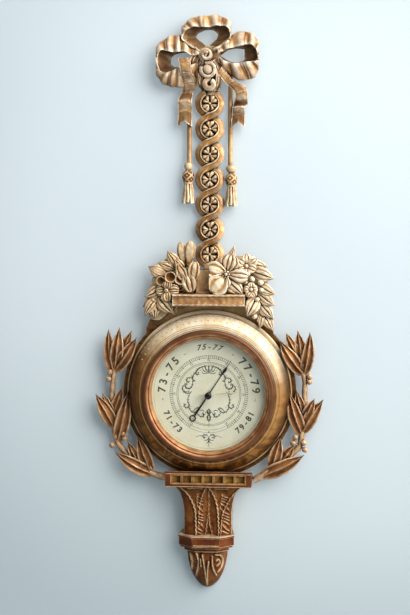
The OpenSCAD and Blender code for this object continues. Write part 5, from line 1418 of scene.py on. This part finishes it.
# Small worn pearls in two rows on the upper part of the case ring: radius, count and size
pearls = []
pearl_angle = math.radians(62)
for r, count, size in ((112.5, 27, 2.3), (118.2, 33, 1.9)):
    pearls.append(repeated("bead", {"Count": count, "Radius": r / 1000, "Start": -pearl_angle,
                                    "Sweep": 2 * pearl_angle, "Long": size / 1000, "Wide": size / 1000,
                                    "High": size * 0.8 / 1000}, gilt_bead, 0, ring_surface(r) + 0.25, 0))
joined("ring_pearls", pearls, gilt_bead)

# A row of beads along the lower edge of the band
beads = repeated("bead", {"Count": 19, "Radius": 0.0, "Start": 0.0, "Sweep": 0.0, "Spacing": 0.0021,
                          "Long": 0.0016, "Wide": 0.0019, "High": 0.0014}, gilt_bead, BAND_X, FRIEZE_D - 7.2,
                 BAND_Z - BAND_H + 5.5)
joined("band_beads", [beads], gilt_bead)


# Print on the dial: circles, ticks, numbers and a scrolled frame, all a hair in front of the plate

INK_D = DIAL_FRONT + 0.06
SCALE_ANGLE = 150


class Print:
    """Collects flat ink shapes, from places of x and z on the dial."""

    def __init__(self):
        self.points, self.faces = [], []

    def add(self, points, faces):
        start = len(self.points)
        self.points += [(x, INK_D, z) for x, z in points]
        self.faces += [tuple(i + start for i in f) for f in faces]

    def ring(self, inner, outer):
        """A circle printed between two radii."""
        around = 160
        a = np.linspace(0, 2 * math.pi, around, endpoint=False)
        self.add([(r * math.sin(t), r * math.cos(t)) for r in (inner, outer) for t in a],
                 [(i, (i + 1) % around, around + (i + 1) % around, around + i) for i in range(around)])

    def stroke(self, points, wide, ends=0.25, both=True):
        """A pen stroke through points, thick in its middle; both adds its mirror image."""
        line = smooth(points, 8)
        way = np.gradient(line, axis=0)
        way /= np.linalg.norm(way, axis=1)[:, None] + 1e-9
        u = np.linspace(0, 1, len(line))
        half = wide / 2 * (ends + (1 - ends) * np.sin(math.pi * u))
        aside = np.stack([-way[:, 1], way[:, 0]], 1) * half[:, None]
        rows = len(line)
        for mirror in ((1, -1) if both else (1,)):
            self.add(np.concatenate([line + aside, line - aside]) * (mirror, 1),
                     [(i, i + 1, rows + i + 1, rows + i) for i in range(rows - 1)])

    def dot(self, x, z, r):
        """A dot and its mirror image."""
        corners = 14
        a = np.linspace(0, 2 * math.pi, corners, endpoint=False)
        for mirror in (1, -1):
            self.add([(mirror * (x + r * math.cos(t)), z + r * math.sin(t)) for t in a],
                     [tuple(range(corners))])

    def mesh(self):
        made = bpy.data.meshes.new("print")
        made.from_pydata([metres(*point) for point in self.points], [], self.faces)
        return made


# The right half of the scrolled frame and of the spray under it: pen strokes through x and z, and widths
FRAME_STROKES = (
    ([(0, 31), (0, 38), (0, 45)], 1.6), ([(0.6, 33), (4.6, 38), (5.2, 43)], 1.3),
    ([(1, 32), (7, 35), (9.5, 39.5)], 1.2), ([(1.5, 31), (8.5, 31.5), (10, 34)], 1.0),
    ([(2, 44), (7.5, 42), (13, 40), (17.5, 36.5), (19.6, 31.5), (16.8, 29.2), (15, 32)], 1.7),
    ([(18, 35), (22.5, 30), (24.5, 24), (23, 19.5), (20.4, 21.4)], 1.5),
    ([(22.5, 29), (26, 25), (31.5, 24.2), (33.6, 20.4), (30.8, 17.6), (28.8, 20.4)], 1.4),
    ([(24, 20), (25, 13), (29, 8.2), (34.5, 9.6), (35.6, 14.6), (32, 16.2)], 1.7),
    ([(36, 15), (39.8, 10), (38.4, 5), (33.4, 2.6), (28.4, 4.4)], 1.3),
    ([(40, 6), (34, 0.6), (28, 1.8), (25.4, 4.6)], 1.2),
    ([(27.6, 2), (31, -5), (31.4, -12), (29.6, -18), (33.6, -21.4), (37.4, -18), (35.6, -14)], 1.5),
    ([(30, -17), (28, -24.5), (22.5, -28), (17, -25.6), (15.4, -21)], 1.4),
    ([(24, -27), (20.5, -22.5), (15.6, -20.8), (13.6, -25)], 1.2),
    ([(19, -27), (14.5, -33), (9, -34.6), (7.4, -30.6), (10.6, -29)], 1.6),
    ([(13.4, -26), (9.4, -24.4), (6.8, -27.6)], 1.1), ([(6.6, -31), (3.4, -27), (1.2, -31), (3.2, -35)], 1.2),
    ([(0, -22), (1.8, -26), (0, -30.4)], 1.6), ([(0, -31), (2.2, -36), (0, -42)], 1.7),
    ([(0, -42), (0, -50)], 0.5), ([(0, -66), (4.4, -61.8), (9, -63.6), (7, -67), (4.6, -65)], 1.3),
    ([(7, -66.6), (12.4, -63.4), (18, -65.4)], 0.8), ([(0, -66), (2.6, -70), (7.6, -70.4)], 1.2),
    ([(0, -67), (1.2, -73), (4.2, -75)], 1.0), ([(0, -66), (0, -81)], 0.7))
FRAME_DOTS = ((15.6, 33, 0.9), (29.6, 19, 0.9), (33, 14, 0.9), (35, -16.4, 0.9), (8.6, -31.6, 0.8),
              (0, -57.8, 1.2), (12, 36, 0.6), (26.6, 29, 0.6), (38, 2.4, 0.6), (25.6, -19.4, 0.6),
              (18.6, -65.4, 0.7))


def hairs(p, points):
    """Short hairs that branch off both sides of a stroke."""
    line = smooth(points, 3)
    for i in range(2, len(line) - 2, 2):
        way = line[i + 1] - line[i - 1]
        a = math.atan2(way[1], way[0])
        for turned in (a + 0.9, a - 0.9):
            tip = line[i] + 2.9 * np.array([math.cos(turned), math.sin(turned)])
            p.stroke([line[i], (line[i] + tip) / 2 + 0.2, tip], 0.6, 0.3)


def printed_lines():
    """Circles, the scrolled frame and the short dashes between the ranges."""
    p = Print()
    for inner, outer in ((46.0, 46.5), (47.9, 48.5), (54.4, 54.8), (58.6, 59.0), (82.9, 83.1)):
        p.ring(inner, outer)
    for points, wide in FRAME_STROKES:
        p.stroke(points, 1.1 * wide, 0.35)
        if wide > 1.25:
            hairs(p, points)
    for x, z, r in FRAME_DOTS:
        p.dot(x, z, r)
    dash_r, dash_half = 70, 2
    for a in (-97, -31, 31, 97):
        sine, cosine = math.sin(math.radians(a)), math.cos(math.radians(a))
        p.stroke([(dash_r * sine + k * cosine, dash_r * cosine - k * sine) for k in (-dash_half, dash_half)],
                 0.9, 0.4, False)
    return p.mesh()


def number(text, r, angle, size, weight, flipped=False, slant=0.0):
    """A number printed upright to the dial's rim, or to its centre when flipped."""
    curve = bpy.data.curves.new("number", "FONT")
    curve.body = text
    curve.size = size / 1000
    curve.align_x, curve.align_y = "CENTER", "CENTER"
    curve.offset = weight / 1000
    curve.shear = slant
    curve.space_character = 1.12
    holder = bpy.data.objects.new("number", curve)
    scene.collection.objects.link(holder)
    mesh = plain_mesh(holder)
    co = np.empty(len(mesh.vertices) * 3)
    mesh.vertices.foreach_get("co", co)
    co = co.reshape(-1, 3) * (-1000 if flipped else 1000)
    t = math.radians(angle)
    x = co[:, 0] * math.cos(t) + (co[:, 1] + r) * math.sin(t)
    z = -co[:, 0] * math.sin(t) + (co[:, 1] + r) * math.cos(t)
    mesh.vertices.foreach_set("co", np.stack(metres(x, np.full(len(x), INK_D), z), 1).ravel())
    mesh.update()
    return mesh


prints = [printed_lines()]
# Ticks of the scale, fine and coarse: count, radius, length and width
for count, r, long, wide in ((101, 56.8, 3.6, 0.62), (21, 56.2, 5.2, 1.0)):
    prints.append(repeated("bar", {"Count": count, "Radius": r / 1000, "Start": math.radians(-SCALE_ANGLE),
                                   "Sweep": math.radians(2 * SCALE_ANGLE), "Long": long / 1000,
                                   "Wide": wide / 1000, "High": 0.00004}, ink, 0, INK_D, 0))
# The scale's numbers, in centimetres of mercury
for i in range(11):
    prints.append(number(str(71 + i), 51.4, -SCALE_ANGLE + 30 * i, 4.2, 0.05))
# Ranges in centimetres, one sign at a time along the arc: middle angle, angle between signs, radius, size,
# weight, whether the feet of the signs point outwards, and slant
for text, middle, spread, r, size, weight, flipped, slant in (
        ("73-75", -65, 10, 70.5, 16.5, 0.42, False, 0.0), ("77-79", 65, 10, 70.5, 16.5, 0.42, False, 0.0),
        ("75-77", 0, 6.4, 71.5, 11.5, 0.28, False, 0.35), ("71-73", -128, 6.6, 70.5, 12, 0.5, True, 0.0),
        ("79-81", 128, 6.6, 70.5, 12, 0.5, True, 0.0)):
    for i, sign in enumerate(text):
        place = middle + (i - 2) * spread * (-1 if flipped else 1)
        prints.append(number(sign, r, place, size, weight, flipped, slant))
joined("dial_print", prints, ink)


# Wall, floor and light

def wall_paint():
    """Pale blue-grey paint with painted light: lighter towards the top, darker away from a point near the
    case, and a glow of its own that grows up and to the right and stands in for light; clear from behind.
    """
    n = Finish("wall_paint")
    mottle = n.noise(3.0, 4, 0.5)
    roller = n.noise(900, 3, 0.6)
    where = n.place()
    parts = n.parts(where)
    # Painted light: lighter towards the top
    tone = n.mix(n.ranged(parts["Z"], -0.95, -0.1), rgb("#C3CDD0"), rgb("#D2DADE"))
    # Painted light: darker away from a point near the case
    away = n.fed("ShaderNodeVectorMath", {0: where, 1: (0.1, 0.001, -0.33)}, operation="DISTANCE")["Value"]
    tone = n.mix(n.ranged(away, 0.34, 0.64, 0.0, 0.5), tone, rgb("#98A3A8"))
    tone = n.mix(n.times(n.ranged(mottle, 0.3, 0.7), 0.12), tone, rgb("#BCC8CC"))
    # Painted light: a glow that grows up and to the right, with the colour darkened where it glows
    lit = n.plus(parts["Z"], n.times(parts["X"], 0.5))
    n.set(Base_Color=n.mix(n.ranged(lit, -0.6, -0.1, 0.02, 0.3), tone, rgb("#8C979C")), Roughness=0.85,
          Normal=n.bump(roller, 0.04, 0.0003), Emission_Color=rgb("#E0ECF2"),
          Emission_Strength=n.ranged(lit, -0.66, 0.05, 0.03, 0.26))
    clear = n.new("ShaderNodeBsdfTransparent").outputs[0]
    n.surface(n.geometry("Backfacing"), n.shader.outputs[0], clear)
    return n.material


def plane(name, corners, material):
    mesh = bpy.data.meshes.new(name)
    mesh.from_pydata(corners, [], [(0, 1, 2, 3)])
    mesh.materials.append(material)
    piece = bpy.data.objects.new(name, mesh)
    scene.collection.objects.link(piece)
    piece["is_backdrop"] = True


# The wall stands a millimetre behind the case, with the floor at its foot
paint = wall_paint()
HALF_W, FOOT_Z, TOP_Z, ROOM_D, WALL_Y = 4, -1.7, 2.2, -6, 0.001
plane("wall", [(-HALF_W, WALL_Y, FOOT_Z), (HALF_W, WALL_Y, FOOT_Z), (HALF_W, WALL_Y, TOP_Z),
               (-HALF_W, WALL_Y, TOP_Z)], paint)
plane("floor", [(-HALF_W, ROOM_D, FOOT_Z), (HALF_W, ROOM_D, FOOT_Z), (HALF_W, WALL_Y, FOOT_Z),
                (-HALF_W, WALL_Y, FOOT_Z)], paint)


def area_light(name, place, target, size, watts, colour):
    data = bpy.data.lights.new(name, "AREA")
    data.shape = "SQUARE"
    data.size = size
    data.energy = watts
    data.color = colour
    light = bpy.data.objects.new(name, data)
    light.location = place
    light.rotation_euler = (Vector(target) - Vector(place)).to_track_quat("-Z", "Y").to_euler()
    scene.collection.objects.link(light)


area_light("window", (1.9, -1.35, 1.25), (0, 0, -0.35), 3.3, 178, (1.0, 0.985, 0.96))
area_light("room", (-1.6, -2.6, 0.2), (0, 0, -0.4), 2.2, 4, (0.9, 0.96, 1.0))

# The room's own light, brighter from above and from the right
world = bpy.data.worlds.new("world")
world.use_nodes = True
scene.world = world
sky = Tree(world.node_tree)
parts = sky.parts(sky.new("ShaderNodeTexCoord").outputs["Generated"])
fall = sky.fed("ShaderNodeMapRange", {"Value": sky.plus(parts["X"], parts["Z"]), "From Min": -0.6,
                                      "From Max": 0.9})["Result"]
background = world.node_tree.nodes["Background"]
sky.put(sky.mix(fall, (0.15, 0.155, 0.15), (0.85, 0.93, 0.98)), background.inputs["Color"])
background.inputs["Strength"].default_value = 0.5

scene.view_settings.view_transform = "Standard"

low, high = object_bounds()
